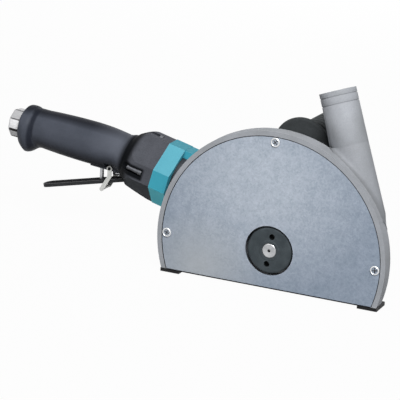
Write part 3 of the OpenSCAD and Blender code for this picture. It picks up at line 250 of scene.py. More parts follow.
def spread(tree, value, low, high, from_low=0.3, from_high=0.7, soft=False):
    """Maps one range of values onto another, with soft ends where asked. The first range suits a noise."""
    node = add_node(tree, "MapRange")
    if soft:
        node.interpolation_type = "SMOOTHSTEP"
    node.inputs["From Min"].default_value = from_low
    node.inputs["From Max"].default_value = from_high
    node.inputs["To Min"].default_value = low
    node.inputs["To Max"].default_value = high
    tree.links.new(value, node.inputs["Value"])
    return node.outputs["Result"]


def mix_tone(tree, factor, first, second, how="MIX"):
    """Mixes two colours, each a constant or a socket."""
    node = add_node(tree, "Mix")
    node.data_type = "RGBA"
    node.blend_type = how
    tree.links.new(factor, node.inputs["Factor"])
    for socket, value in ((node.inputs[6], first), (node.inputs[7], second)):
        if isinstance(value, tuple):
            socket.default_value = value
        else:
            tree.links.new(value, socket)
    return node.outputs[2]


print("node helpers ready")

# %% [markdown]
# ## Masks for edges and hollows
# Edges wear bright, and grooves get painted shade. The edge mask compares the true normal with one that is
# averaged
# over a small radius: they differ at edges only. The hollow mask measures how closed in a spot is, for that
# painted shade.

# %% Edge mask and hollow mask
wear_patch = 0.00625


def edge_mask(tree, vector, radius, strength):
    """White along sharp edges, broken up by noise."""
    rounded = add_node(tree, "Bevel")
    rounded.samples = 4
    rounded.inputs["Radius"].default_value = radius
    plain = add_node(tree, "NewGeometry")
    dot = add_node(tree, "VectorMath")
    dot.operation = "DOT_PRODUCT"
    tree.links.new(rounded.outputs["Normal"], dot.inputs[0])
    tree.links.new(plain.outputs["Normal"], dot.inputs[1])
    edge = spread(tree, dot.outputs["Value"], 1.0, 0.0, 0.80, 0.985)
    patches = spread(tree, noise_field(tree, vector, 1 / wear_patch, 4.0), 0.0, strength, 0.35, 0.6)
    worn = arithmetic(tree, "MULTIPLY", edge, patches)
    worn.node.use_clamp = True
    return worn


def hollow_mask(tree, reach, strength):
    """White in grooves and inner corners, where the finish gets painted shade."""
    hollow = add_node(tree, "AmbientOcclusion")
    hollow.samples = 6
    hollow.inputs["Distance"].default_value = reach
    return spread(tree, hollow.outputs["AO"], strength, 0.0, 0.3, 0.8)


print("masks ready")

# %% [markdown]
# ## One builder for all finishes
# A finish could be wired by hand each time, but the tool has some two dozen of them that differ only in
# numbers. One function wires the shader. The cells below give it the tones in screen values, those of the
# visible pieces read off the photograph, with the gloss and the size of the grain in metres.

# %% The finish builder
finishes = {}
speck_shade, hollow_shade_level, relief_depth, gloss_fineness = 0.55, 0.2, 0.0004, 2.3


def finish(slot_name, tones, worn, rough, metal=0.0, patch=0.02, grain=0.001, grain_depth=0.15, wear=0.5,
           wear_radius=0.0006, bump=0.08, bump_size=0.0011, stretch=None, specular=0.5, hollow_shade=0.6,
           reach=0.004):
    """Two tones, a fine grain, worn edges, uneven gloss and small bumps, for one of the record's slots."""
    material = bpy.data.materials.new(slot_name + "_finish")
    material.use_nodes = True
    tree = material.node_tree
    shader = tree.nodes["Principled BSDF"]
    place = add_node(tree, "TexCoord").outputs["Object"]
    patches = spread(tree, noise_field(tree, place, 1 / patch, 4.0, stretch), 0.0, 1.0)
    body = mix_tone(tree, patches, tone(*tones[0]), tone(*tones[1]))
    specks = spread(tree, noise_field(tree, place, 1 / grain, 2.0, stretch), 0.0, grain_depth, 0.42, 0.66)
    body = mix_tone(tree, specks, body, tone(*[part * speck_shade for part in tones[0]]))
    body = mix_tone(tree, edge_mask(tree, place, wear_radius, wear), body, tone(*worn))
    # painted shade: hollows and inner corners turn darker, the more closed in the darker
    hollow_shade_tone = tone(*[part * hollow_shade_level for part in tones[0]])
    body = mix_tone(tree, hollow_mask(tree, reach, hollow_shade), body, hollow_shade_tone)
    tree.links.new(body, shader.inputs["Base Color"])
    gloss = noise_field(tree, place, gloss_fineness / patch, 5.0, stretch)
    tree.links.new(spread(tree, gloss, rough[0], rough[1]), shader.inputs["Roughness"])
    shader.inputs["Metallic"].default_value = metal
    shader.inputs["Specular IOR Level"].default_value = specular
    relief = add_node(tree, "Bump")
    relief.inputs["Strength"].default_value = bump
    relief.inputs["Distance"].default_value = relief_depth
    tree.links.new(noise_field(tree, place, 1 / bump_size, 3.0, stretch), relief.inputs["Height"])
    tree.links.new(relief.outputs["Normal"], shader.inputs["Normal"])
    finishes[slot_name] = material


print("finish builder ready")

# %% [markdown]
# ## One more tone over a finish
# Some finishes change with the place: painted shade in a groove, a painted highlight on a spot, a facet
# painted in another tone. Each is one more mix behind the finish's own tones, and a mask is its factor.

# %% A tone over a finish
def repaint(slot_name, factor, over, how="MIX"):
    """Lays one more tone over a finish, where the factor says so."""
    tree = finishes[slot_name].node_tree
    colour = tree.nodes["Principled BSDF"].inputs["Base Color"]
    tree.links.new(mix_tone(tree, factor, colour.links[0].from_socket, over, how), colour)


print("repaint helper ready")

# %% [markdown]
# ## Castings, case and shoes
# The hood, its spout and the angle head are blasted aluminium castings: neutral grey, with a fine grain
# that breaks up the light. The clamp is bare steel, the motor's case is a dark lacquered tube, and the
# shoes are black and scuffed.

# %% Castings
finish("cast_grey", ((143, 146, 150), (158, 161, 167)), (186, 186, 188), metal=0.05, rough=(0.5, 0.64),
       patch=0.03, grain=0.0012, grain_depth=0.1, wear=0.12, wear_radius=0.001, bump=0.16,
       bump_size=0.0007, specular=0.06, hollow_shade=0.42, reach=0.005)
finish("clamp_steel", ((104, 106, 109), (128, 130, 133)), (180, 180, 181), metal=0.8, rough=(0.32, 0.46),
       patch=0.015, wear=0.6, wear_radius=0.0007, bump=0.12)
finish("head_alloy", ((92, 94, 98), (114, 116, 120)), (168, 168, 170), metal=0.5, rough=(0.4, 0.55),
       grain=0.0016, grain_depth=0.3, wear=0.6, wear_radius=0.001, bump=0.35, bump_size=0.0009)
finish("motor_grey", ((46, 49, 54), (62, 65, 70)), (130, 131, 134), metal=0.2, rough=(0.4, 0.54),
       grain=0.0013, grain_depth=0.2, wear_radius=0.0008, bump=0.15, specular=0.25)
finish("shoe_black", ((20, 20, 21), (34, 34, 35)), (112, 112, 112), rough=(0.5, 0.66),
       patch=0.011, grain=0.0018, grain_depth=0.3, wear=0.9, wear_radius=0.0012, bump=0.3,
       bump_size=0.0014, specular=0.15)
print("castings:", sorted(finishes))

# %% [markdown]
# ## The zinc plate
# The front plate is zinc plated sheet. Zinc grows in small crystals, so it is mottled in bluish greys a
# few millimetres across. A painted highlight makes it brighter around its middle and towards its lower left
# corner, and painted shade darkens it towards its border. A plain noise gives clouds without edges, so a cell
# pattern is laid over it for the crystals.

# %% Crystals and a painted highlight on the plate
crystal_size = 0.0022
finish("plate_steel", ((156, 166, 178), (172, 180, 192)), (206, 211, 216), metal=0.1, rough=(0.44, 0.56),
       patch=0.012, grain=0.0013, grain_depth=0.16, bump_size=0.0012, specular=0.25, hollow_shade=0.5,
       reach=0.002)
tree = finishes["plate_steel"].node_tree
place = tree.nodes["Texture Coordinate"].outputs["Object"]


def spot_mask(location, scale):
    """White in the middle of an oval spot on the plate, fading to black at its border."""
    mapping = add_node(tree, "Mapping")
    mapping.inputs["Location"].default_value = location
    mapping.inputs["Scale"].default_value = scale
    tree.links.new(place, mapping.inputs["Vector"])
    ball = add_node(tree, "TexGradient")
    ball.gradient_type = "SPHERICAL"
    tree.links.new(mapping.outputs["Vector"], ball.inputs["Vector"])
    return ball.outputs["Fac"]


crystals = add_node(tree, "TexVoronoi")
crystals.inputs["Scale"].default_value = 1 / crystal_size
tree.links.new(place, crystals.inputs["Vector"])
flake = spread(tree, crystals.outputs["Color"], 0.0, 0.3, 0.25, 0.95)
repaint("plate_steel", flake, tone(198, 206, 216))
# painted shade: darker and bluer away from the bright middle
plate_shade = spread(tree, spot_mask((0.12, 0.0, -0.6), (7.6, 0.0, 8.6)), 1.0, 0.0, 0.0, 0.75)
repaint("plate_steel", plate_shade, (0.61, 0.65, 0.70, 1.0), "MULTIPLY")
# painted highlight towards the lower left corner
lower_left_highlight = spread(tree, spot_mask((1.05, 0.0, 0.5), (13.5, 0.0, 16.0)), 0.0, 0.5, 0.0, 0.9)
repaint("plate_steel", lower_left_highlight, tone(184, 186, 186))
print("plate finish nodes:", len(tree.nodes))

# %% [markdown]
# ## Paint, plastic and rubber
# The blacks of this tool differ mostly in their gloss, and all are slightly blue. A dark surface with
# full reflectivity would mirror the white studio and look grey, so these have a low specular level, which
# leaves the lamp's soft band of light along the grip and keeps the edges dark.

# %% Teal paint and the blacks
finish("teal_paint", ((104, 223, 240), (110, 231, 247)), (210, 238, 242), rough=(0.3, 0.42),
       patch=0.04, grain=0.0012, grain_depth=0.06, wear_radius=0.0007, bump=0.05, bump_size=0.002,
       specular=0.02, hollow_shade=0.4)
finish("housing_grey", ((75, 77, 83), (87, 89, 96)), (112, 114, 119), rough=(0.46, 0.58),
       grain=0.0014, grain_depth=0.18, wear=0.45, wear_radius=0.0009, bump=0.2, bump_size=0.0008,
       specular=0.03, hollow_shade=0.95, reach=0.007)
finish("grip_rubber", ((69, 73, 82), (79, 83, 93)), (88, 92, 102), rough=(0.36, 0.45),
       patch=0.03, grain=0.0011, grain_depth=0.12, wear=0.25, wear_radius=0.0009, bump_size=0.0007,
       specular=0.04, hollow_shade=0.9, reach=0.006)
finish("handle_plastic", ((52, 55, 56), (65, 68, 70)), (92, 95, 97), rough=(0.42, 0.54),
       grain=0.0013, wear=0.4, wear_radius=0.0008, bump=0.16, bump_size=0.0009, specular=0.015, hollow_shade=0.7,
       reach=0.006)
finish("lever_black", ((34, 35, 37), (46, 47, 50)), (110, 110, 113), rough=(0.36, 0.48),
       patch=0.012, grain=0.0012, bump=0.1, specular=0.15)
finish("nut_black", ((53, 60, 64), (67, 74, 78)), (124, 129, 132), metal=0.1, rough=(0.36, 0.5),
       patch=0.011, grain=0.0012, wear=0.6, wear_radius=0.0007, bump=0.1, specular=0.15, hollow_shade=0.97,
       reach=0.009)
finish("seal_rubber", ((14, 15, 17), (22, 23, 26)), (44, 44, 46), rough=(0.55, 0.7),
       patch=0.014, grain=0.0012, grain_depth=0.2, wear=0.2, bump=0.2, specular=0.08)
finish("vane_resin", ((112, 72, 44), (134, 90, 58)), (160, 120, 86), rough=(0.45, 0.6),
       patch=0.0033, grain=0.0008, grain_depth=0.3, wear=0.4, wear_radius=0.0005, bump=0.15)
print("finishes so far:", len(finishes))

# %% [markdown]
# ## The collar's facets
# In the photograph each row of the teal collar's facets has a tone of its own, with more contrast than
# soft light alone gives. A colour ramp over the direction that a facet faces, from below to above, paints
# that light and shade, and it is multiplied with the paint.

# %% Painted light and shade for each row of facets
motor_at, motor_tilt = (0.0, 0.08, 0.0), 14.6


def upward(tilt):
    """The direction that looks up, square to one of the tool's tilted axes."""
    return (sin(radians(tilt)), 0.0, cos(radians(tilt)))


def facing(tree, direction):
    """How much a surface faces a direction: 1 towards it, -1 away from it."""
    surface = add_node(tree, "NewGeometry")
    dot = add_node(tree, "VectorMath")
    dot.operation = "DOT_PRODUCT"
    dot.inputs[1].default_value = direction
    tree.links.new(surface.outputs["Normal"], dot.inputs[0])
    return dot.outputs["Value"]


tree = finishes["teal_paint"].node_tree
# the ramp paints light and shade on each row of facets
row_shading = add_node(tree, "ValToRGB")
tree.links.new(spread(tree, facing(tree, upward(motor_tilt)), 0.0, 1.0, -1.0, 1.0), row_shading.inputs["Fac"])
row_shades = [
    (0.15, (1.0, 1.0, 1.0, 1)), (0.45, (0.38, 0.46, 0.51, 1)), (0.55, (0.38, 0.46, 0.51, 1)),
    (0.84, (0.74, 0.49, 0.52, 1)), (0.90, (0.74, 0.49, 0.52, 1)), (0.97, (0.42, 0.36, 0.39, 1)),
]
while len(row_shading.color_ramp.elements) < len(row_shades):
    row_shading.color_ramp.elements.new(0.5)
for element, (at, row_shade) in zip(row_shading.color_ramp.elements, row_shades):
    element.position = at
    element.color = row_shade
whole = add_node(tree, "Value")
whole.outputs[0].default_value = 1.0
repaint("teal_paint", whole.outputs[0], row_shading.outputs["Color"], "MULTIPLY")
print("steps of the colour ramp:", len(row_shades))

# %% [markdown]
# ## Painted light on the rubber
# The grip's sides near its front get a painted highlight. Along its top and underneath it gets painted shade,
# and so does the housing's underside. The direction that the surface faces gives these bands.

# %% Painted shade on top and underneath, painted highlight in front
grip_at, grip_tilt = (-0.205154, 0.08, 0.053439), 6.1


def own_axes(tree, location, tilt):
    """Coordinates in a frame of the tool's own: X up across the axis, Y sideways, Z along the axis."""
    mapping = add_node(tree, "Mapping")
    mapping.vector_type = "TEXTURE"
    mapping.inputs["Location"].default_value = location
    mapping.inputs["Rotation"].default_value = (0.0, radians(tilt - 90), 0.0)
    tree.links.new(tree.nodes["Texture Coordinate"].outputs["Object"], mapping.inputs["Vector"])
    axes = add_node(tree, "SeparateXYZ")
    tree.links.new(mapping.outputs["Vector"], axes.inputs[0])
    return axes.outputs


tree = finishes["grip_rubber"].node_tree
lift = facing(tree, upward(grip_tilt))
along = own_axes(tree, grip_at, grip_tilt)["Z"]
# painted shade along the grip's top
repaint("grip_rubber", spread(tree, lift, 0.0, 0.9, 0.74, 0.95), tone(22, 24, 31))
# painted shade underneath, up to the flare
underside_shade = spread(tree, lift, 0.82, 0.0, -0.80, 0.02, soft=True)
before_flare = spread(tree, along, 1.0, 0.1, 0.098, 0.112)
repaint("grip_rubber", arithmetic(tree, "MULTIPLY", underside_shade, before_flare), tone(28, 29, 33))
# painted highlight on the sides near the front
front_highlight = spread(tree, along, 0.42, 0.0, 0.006, 0.04)
sides = spread(tree, lift, 0.0, 1.0, -0.25, 0.15)
repaint("grip_rubber", arithmetic(tree, "MULTIPLY", front_highlight, sides), tone(106, 110, 120))
tree = finishes["housing_grey"].node_tree
# painted shade on the housing's underside
underside_shade = spread(tree, facing(tree, upward(motor_tilt)), 0.72, 0.0, -0.75, -0.15)
repaint("housing_grey", underside_shade, tone(38, 44, 48))
print("rubbed:", "grip_rubber", "housing_grey")

# %% [markdown]
# ## The dark joint behind the housing
# Where the rubber grip meets the housing, the two round off into a groove, and painted shade turns it black.
# It also lies in the neck before the grip's flare. A black ring alone would have hard borders, so the
# finishes fade to black near the joint. The distance is taken along the motor's own axis, and along the
# grip's.

# %% Painted shade at the joint and in the neck
joint_at, neck_at = 0.2015, 0.1083


def soot_ring(slot_name, origin, tilt, ring_at, most, near, far, over):
    """Paints shade on a finish round a ring on one of the tool's axes."""
    tree = finishes[slot_name].node_tree
    apart = arithmetic(tree, "SUBTRACT", own_axes(tree, origin, tilt)["Z"], ring_at)
    ring_shade = spread(tree, arithmetic(tree, "ABSOLUTE", apart), most, 0.0, near, far, soft=True)
    repaint(slot_name, ring_shade, over)
    print("soot on", slot_name)


# painted shade in the groove at the joint, and in the grip's neck
for slot_name in ("grip_rubber", "housing_grey"):
    soot_ring(slot_name, motor_at, motor_tilt, joint_at, 0.98, 0.0032, 0.0112, tone(7, 9, 12))
soot_ring("grip_rubber", grip_at, grip_tilt, neck_at, 0.8, 0.0012, 0.0045, tone(26, 29, 38))

# %% [markdown]
# ## Painted shadow in the bolt troughs
# The housing's long bolts lie in troughs. The two troughs at its sides get painted shadow inside, most of all
# below the bolts. The mask is the distance from a line just under each bolt. Both lines lie equally far from
# the motor's axis, so the absolute value of the sideways distance serves for both.

# %% Painted shadow in the bolt troughs
trough_side, trough_drop = 0.033, 0.0012


def length_of(tree, first, second):
    """Length of the line that two distances at right angles span."""
    pair = add_node(tree, "CombineXYZ")
    tree.links.new(first, pair.inputs["X"])
    tree.links.new(second, pair.inputs["Y"])
    length = add_node(tree, "VectorMath")
    length.operation = "LENGTH"
    tree.links.new(pair.outputs[0], length.inputs[0])
    return length.outputs["Value"]


tree = finishes["housing_grey"].node_tree
axes = own_axes(tree, motor_at, motor_tilt)
sideways = arithmetic(tree, "SUBTRACT", arithmetic(tree, "ABSOLUTE", axes["Y"]), trough_side)
upwards = arithmetic(tree, "ADD", axes["X"], trough_drop)
near = spread(tree, length_of(tree, sideways, upwards), 0.97, 0.0, 0.006, 0.0082)
behind = spread(tree, axes["Z"], 0.0, 1.0, 0.1715, 0.1745)
# painted shadow in the side troughs, most of all below the bolts
repaint("housing_grey", arithmetic(tree, "MULTIPLY", near, behind), tone(9, 11, 14))
print("housing finish nodes:", len(tree.nodes))

# %% [markdown]
# ## Bright and dark metals
# Bare steel takes its look from what it mirrors. In an all white studio it would turn flat and pale, so
# its own tone is kept darker here, and the facets that face the lamp stand out from it.

# %% Steels, bronze and brass
finish("screw_zinc", ((206, 208, 210), (226, 227, 229)), (238, 238, 238), metal=0.5, rough=(0.24, 0.38),
       patch=0.005, grain=0.0008, wear=0.6, wear_radius=0.0004, bump=0.06, hollow_shade=0.95, reach=0.0022)
finish("screw_dark", ((62, 64, 68), (84, 86, 90)), (142, 142, 145), metal=0.4, rough=(0.34, 0.48),
       patch=0.005, grain=0.0008, grain_depth=0.2, wear=0.7, wear_radius=0.0004)
finish("spindle_steel", ((168, 170, 173), (200, 201, 203)), (226, 226, 226), metal=0.95,
       rough=(0.22, 0.34), patch=0.008, wear=0.4, wear_radius=0.0005)
finish("gear_steel", ((112, 114, 118), (138, 140, 144)), (196, 196, 198), metal=0.95, rough=(0.24, 0.36),
       patch=0.008, wear=0.7, wear_radius=0.0004)
finish("bearing_steel", ((160, 162, 166), (186, 188, 190)), (220, 220, 221), metal=0.95,
       rough=(0.16, 0.26), patch=0.008, grain_depth=0.1, wear=0.4, wear_radius=0.0005, bump=0.05)
finish("liner_iron", ((88, 88, 91), (108, 108, 111)), (146, 146, 147), metal=0.85, rough=(0.3, 0.44),
       patch=0.01, grain_depth=0.2, bump=0.12)
finish("end_plate_bronze", ((146, 108, 62), (168, 128, 78)), (200, 168, 116), metal=0.9,
       rough=(0.28, 0.42), patch=0.011, bump=0.1)
# the worn tone is dark here: painted shade along the nut's edges
finish("inlet_steel", ((222, 222, 224), (246, 246, 248)), (120, 120, 122), metal=0.1, rough=(0.24, 0.36),
       patch=0.004, grain=0.0007, grain_depth=0.2, wear=0.9, wear_radius=0.0009, stretch=(0.25, 1.0, 1.0),
       specular=0.12)
finish("valve_brass", ((170, 140, 84), (190, 160, 100)), (220, 196, 140), metal=0.9, rough=(0.24, 0.36),
       patch=0.011, grain_depth=0.1, wear_radius=0.0005)
finish("spring_steel", ((150, 152, 155), (176, 178, 180)), (215, 215, 215), metal=0.95, rough=(0.22, 0.34),
       patch=0.008, grain_depth=0.1, wear=0.3, wear_radius=0.0003, bump=0.05)
finish("latch_zinc", ((200, 201, 198), (216, 217, 214)), (226, 226, 223), metal=0.1, rough=(0.34, 0.46),
       patch=0.007, grain=0.0009, grain_depth=0.25, wear=0.4, wear_radius=0.0004, specular=0.35)
print("all finishes:", len(finishes))

# %% [markdown]
# ## Painted light on the dark screws
# The long bolts lie open; their upper sides get a painted highlight and their undersides painted shade.

# %% Painted highlight above, painted shade below
tree = finishes["screw_dark"].node_tree
lift = facing(tree, upward(motor_tilt))
# painted highlight on the upper sides, painted shade on the undersides
repaint("screw_dark", spread(tree, lift, 0.0, 0.6, 0.1, 0.8), tone(128, 130, 137))
repaint("screw_dark", spread(tree, lift, 0.75, 0.0, -0.6, 0.0), tone(20, 21, 24))
print("dark screw nodes:", len(tree.nodes))

# %% [markdown]
# ## Painted shade at the spout's foot
# Painted shade lies where the spout rises from the hood's round skin: a dark crease, and a wider soft shade.
# Only the spout reaches beyond that skin, so masks over the distance from the hood's axis mark its foot.

# %% Painted shade at the foot of the spout
hood_r = 0.1265
skin_from, skin_to = hood_r + 0.00005, hood_r + 0.0004
crease_from, crease_to = hood_r + 0.0003, hood_r + 0.0047
shade_from, shade_to = hood_r + 0.0105, hood_r + 0.0255
tree = finishes["cast_grey"].node_tree
place = add_node(tree, "SeparateXYZ")
tree.links.new(tree.nodes["Texture Coordinate"].outputs["Object"], place.inputs[0])
reach = length_of(tree, place.outputs["X"], place.outputs["Z"])
crease = spread(tree, reach, 0.5, 0.0, crease_from, crease_to, soft=True)
shade = spread(tree, reach, 0.23, 0.0, shade_from, shade_to, soft=True)
outside = spread(tree, reach, 0.0, 1.0, skin_from, skin_to)
# painted shade: a dark crease at the foot and a wider soft shade above it
foot_shade = arithmetic(tree, "MAXIMUM", crease, shade)
repaint("cast_grey", arithmetic(tree, "MULTIPLY", foot_shade, outside), tone(84, 86, 88))
print("cast finish nodes:", len(tree.nodes))

# %% [markdown]
# ## The inlet's ground flats
# The hose inlet is a steel nut with ground flats. Its edges carry painted lines of shade, darkest on the
# lower ones, and the flats that look up or down get painted shade against the one in the middle. The pattern
# is laid round the inlet's own axis: the angle round the axis gives the edges, and the height gives the
# flats.

# %% Painted shade on the inlet's edges and flats
inlet_turn, chamfer_from, chamfer_fade = 28.8, 0.1374, 0.0008
half_flat = radians(22.5)
tree = finishes["inlet_steel"].node_tree
axes = own_axes(tree, grip_at, grip_tilt)
round_axis = arithmetic(tree, "ARCTAN2", axes["Y"], axes["X"])
angle = arithmetic(tree, "SUBTRACT", round_axis, radians(inlet_turn))
to_corner = arithmetic(tree, "PINGPONG", angle, half_flat)
lift = facing(tree, upward(grip_tilt))
# painted shade on the flats that look up and down
repaint("inlet_steel", spread(tree, lift, 0.0, 0.52, 0.3, 0.5), tone(120, 120, 122))
repaint("inlet_steel", spread(tree, lift, 0.3, 0.0, -0.5, -0.3), tone(112, 112, 114))
flats = spread(tree, axes["Z"], 1.0, 0.0, chamfer_from - chamfer_fade, chamfer_from)
# painted shade lines at the edges, wider and darker on the lower ones
thin = spread(tree, to_corner, 0.9, 0.0, radians(1.5), radians(3.5))
repaint("inlet_steel", arithmetic(tree, "MULTIPLY", thin, flats), tone(50, 50, 52))
thick = spread(tree, to_corner, 0.97, 0.0, radians(5), radians(7.5))
lower = arithmetic(tree, "MULTIPLY", flats, spread(tree, axes["X"], 1.0, 0.0, -0.003, 0.0))
repaint("inlet_steel", arithmetic(tree, "MULTIPLY", thick, lower), tone(12, 12, 13))
print("inlet finish nodes:", len(tree.nodes))

# %% [markdown]
# ## Painting the solids
# Each solid already has a slot from the record. A loop looks the slot up and puts the finish into the
# solid's own material slot, which is the one change that a solid allows.

# %% A finish for each solid
slot_of = {}
for node_name, node in frame["nodes"].items():
    slot_of[node_name] = node.data.materials[0].name.split(".")[0]
    node.data.materials.clear()
    node.data.materials.append(finishes[slot_of[node_name]])
print("painted solids:", len(slot_of))

# %% [markdown]
# ## Softened edges
# A solid has knife-sharp edges, and a real casting or pressing never does: its edges catch a thin line
# of light. One could model each edge by hand. Here a copy of the solid is merged, its flat faces are
# joined, and a bevel rounds each edge that turns sharply. The copy then stands for the solid.

# %% A softened copy of a solid
merge_distance, flat_angle, sharp_angle, sliver = 0.000002, 0.6, 32, 0.000001
body_of_node = {}
for body_name, members in frame["record"]["behaviour"]["bodies"].items():
    for node_name in members:
        body_of_node[node_name] = body_name


def pick(piece):
    """Selects one object alone and makes it active."""
    bpy.ops.object.select_all(action="DESELECT")
    piece.select_set(True)
    bpy.context.view_layer.objects.active = piece


def edit_all(piece):
    """Opens a piece in Edit Mode with everything selected."""
    pick(piece)
    bpy.ops.object.mode_set(mode="EDIT")
    bpy.ops.mesh.select_all(action="SELECT")


def smooth(angle):
    """Shades the selected piece smooth, apart from the edges that turn by more than an angle."""
    bpy.ops.object.shade_smooth_by_angle(angle=radians(angle))


def assign(piece, slot_name, body_name):
    """Gives a piece its finish and its body."""
    piece.data.materials.clear()
    piece.data.materials.append(finishes[slot_name])
    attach(piece, body_name)


def settle(piece, node_name):
    """Gives a piece a solid's finish and body, and lets it stand for that solid."""
    assign(piece, slot_of[node_name], body_of_node[node_name])
    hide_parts(node_name)


def soften(node_name, width):
    """Copies a solid, joins its flat faces and rounds its sharp edges."""
    mesh = frame["nodes"][node_name].data.copy()
    piece = bpy.data.objects.new("soft_" + node_name, mesh)
    scene.collection.objects.link(piece)
    pick(piece)
    bpy.ops.mesh.customdata_custom_splitnormals_clear()
    edit_all(piece)
    bpy.ops.mesh.remove_doubles(threshold=merge_distance)
    bpy.ops.mesh.dissolve_limited(angle_limit=radians(flat_angle))
    bpy.ops.object.mode_set(mode="OBJECT")
    rounding = piece.modifiers.new("rounded_edges", "BEVEL")
    rounding.width = width
    rounding.segments = 2
    rounding.limit_method = "ANGLE"
    rounding.angle_limit = radians(sharp_angle)
    rounding.use_clamp_overlap = True
    rounding.miter_outer = "MITER_ARC"
    bpy.ops.object.modifier_apply(modifier=rounding.name)
    edit_all(piece)
    bpy.ops.mesh.dissolve_degenerate(threshold=sliver)
    bpy.ops.object.mode_set(mode="OBJECT")
    smooth(sharp_angle)
    evening = piece.modifiers.new("even_flats", "WEIGHTED_NORMAL")
    evening.keep_sharp = True
    bpy.ops.object.modifier_apply(modifier=evening.name)
    settle(piece, node_name)
    return piece


print("nodes with a body:", len(body_of_node))

# %% [markdown]
# ## The softened solids
# Castings and mouldings have wide roundings, and turned or stamped pieces narrow ones. The hidden pieces
# inside keep their solids, apart from the valve's spring.

# %% Softened copies
edge_width = {
    "hood_shell": 0.0008,
    "dust_spout": 0.0006,
    "hood_plate": 0.0003,
    "left_shoe": 0.0008,
    "right_shoe": 0.0008,
    "clamp_collar": 0.0006,
    "flange_nut": 0.0005,
    "spindle": 0.0004,
    "gear_head": 0.0008,
    "gear_head_cap": 0.0008,
    "motor_case": 0.0006,
    "head_collar": 0.0006,
    "rear_housing": 0.0009,
    "housing_bolts": 0.0003,
    "throttle_lever": 0.0006,
    "safety_latch": 0.0003,
    "grip_sleeve": 0.0008,
}
for node_name, width in edge_width.items():
    piece = soften(node_name, width)
    print(piece.name, len(piece.data.polygons), "faces")

# %% [markdown]
# ## A helper for turned pieces
# Screws, seals and rings are turned or moulded round an axis. Spin would do it from a half outline, but
# it leaves a seam and has to be merged. Here a circle is extruded ring by ring and each new ring is scaled,
# as one would do by hand with E and S. A closed tube comes back to its first ring.

# %% Rings that are extruded one after the other
def ring_stack(name, rings, sides=64, closed=False):
    """Builds a turned piece round the Z axis from pairs of radius and height."""
    bpy.ops.object.select_all(action="DESELECT")
    radius, height = rings[0]
    fill = "NOTHING" if closed else "NGON"
    bpy.ops.mesh.primitive_circle_add(vertices=sides, radius=radius, fill_type=fill, location=(0, 0, height))
    piece = bpy.context.active_object
    piece.name = name
    bpy.ops.object.transform_apply()
    edit_all(piece)
    for next_radius, next_height in rings[1:]:
        bpy.ops.mesh.extrude_region_move(TRANSFORM_OT_translate={"value": (0, 0, next_height - height)})
        share = next_radius / radius
        bpy.ops.transform.resize(value=(share, share, 1), center_override=(0, 0, next_height))
        radius, height = next_radius, next_height
    bpy.ops.mesh.select_all(action="SELECT")
    bpy.ops.mesh.remove_doubles(threshold=sliver)
    bpy.ops.mesh.normals_make_consistent(inside=False)
    bpy.ops.object.mode_set(mode="OBJECT")
    return piece


def put(piece, place):
    """Moves a piece to its place and leaves the object itself at the origin."""
    pick(piece)
    piece.matrix_world = place
    bpy.ops.object.transform_apply()


def dress(piece, slot_name, body_name, angle=35):
    """Gives an extra piece its finish, its body and smooth shading."""
    pick(piece)
    smooth(angle)
    assign(piece, slot_name, body_name)


to_front = Matrix.Rotation(radians(90), 4, "X")
print("ring helper ready")

# %% [markdown]
# ## Plate screws
# Three bright pan head screws hold the plate. Each head is dished, and a dark cross recess lies in the duller
# dish. The head is a ring stack that sinks again inside its rim. The recess is two crossed bars with bevelled
# edges, set just above the dish's floor.

# %% Dished heads with a cross recess
def round_edges(piece, bevel):
    """Rounds every edge of a piece."""
    edit_all(piece)
    bpy.ops.mesh.bevel(offset=bevel, segments=2, affect="EDGES")
    bpy.ops.object.mode_set(mode="OBJECT")


def block(name, place, size, bevel, turn=0):
    """A block with rounded edges, made from a cube."""
    bpy.ops.object.select_all(action="DESELECT")
    bpy.ops.mesh.primitive_cube_add(size=1, location=place, rotation=(0, 0, radians(turn)))
    piece = bpy.context.active_object
    piece.name = name
    piece.scale = size
    bpy.ops.object.transform_apply()
    round_edges(piece, bevel)
    return piece


head_r, head_foot, head_side, head_slope, head_top = 0.005, -0.0002, 0.0007, 0.0011, 0.0014
dish_r, dish_foot, dish_floor = head_r * 0.66, 0.0003, 0.0005
dish_top_r, dish_top = 0.0029, 0.00058
head_rings = [(head_r, head_foot), (head_r, head_side), (head_r * 0.95, head_slope),
              (head_r * 0.86, head_top), (head_r * 0.76, head_top), (head_r * 0.69, head_slope),
              (dish_r, dish_floor)]
head = ring_stack("plate_screw_1", head_rings, sides=48)
bar_at, bar_size, bar_bevel = (0, 0, dish_floor), (0.0054, 0.0013, 0.0004), 0.00012
recess = block("screw_recess_1", bar_at, bar_size, bar_bevel)
block("cross_bar", bar_at, bar_size, bar_bevel, turn=90)
recess.select_set(True)
bpy.context.view_layer.objects.active = recess
bpy.ops.object.join()
dish_rings = [(dish_r, dish_foot), (dish_r, dish_floor), (dish_top_r, dish_top)]
dish = ring_stack("screw_dish_1", dish_rings, sides=32)
print("head faces:", len(head.data.polygons), "recess faces:", len(recess.data.polygons))

# %% [markdown]
# ## The screws' places
# The screws sit on a ring inside the hood's rim, one above and one at each side. One screw is modelled, and
# the two others are copies with meshes of their own. Each is turned as far as its fitter happened to turn it.

# %% Three screws in the plate
screw_ring, screw_y = 0.1156, 0.0003
first_turn, next_turn = 20, 25
screw_places = [(0.0, screw_y, screw_ring), (-screw_ring, screw_y, 0.0), (screw_ring, screw_y, 0.0)]
for number, spot in reversed(list(enumerate(screw_places, 1))):
    turned = Matrix.Rotation(radians(first_turn + next_turn * number), 4, "Z")
    for piece, slot_name in ((head, "screw_zinc"), (dish, "plate_steel"), (recess, "screw_dark")):
        if number > 1:
            mesh = piece.data.copy()
            piece = bpy.data.objects.new(piece.name[:-1] + str(number), mesh)
            scene.collection.objects.link(piece)
        put(piece, Matrix.Translation(spot) @ to_front @ turned)
        dress(piece, slot_name, "hood", 30)
        print(piece.name, len(piece.data.polygons), "faces")
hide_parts("plate_screws")
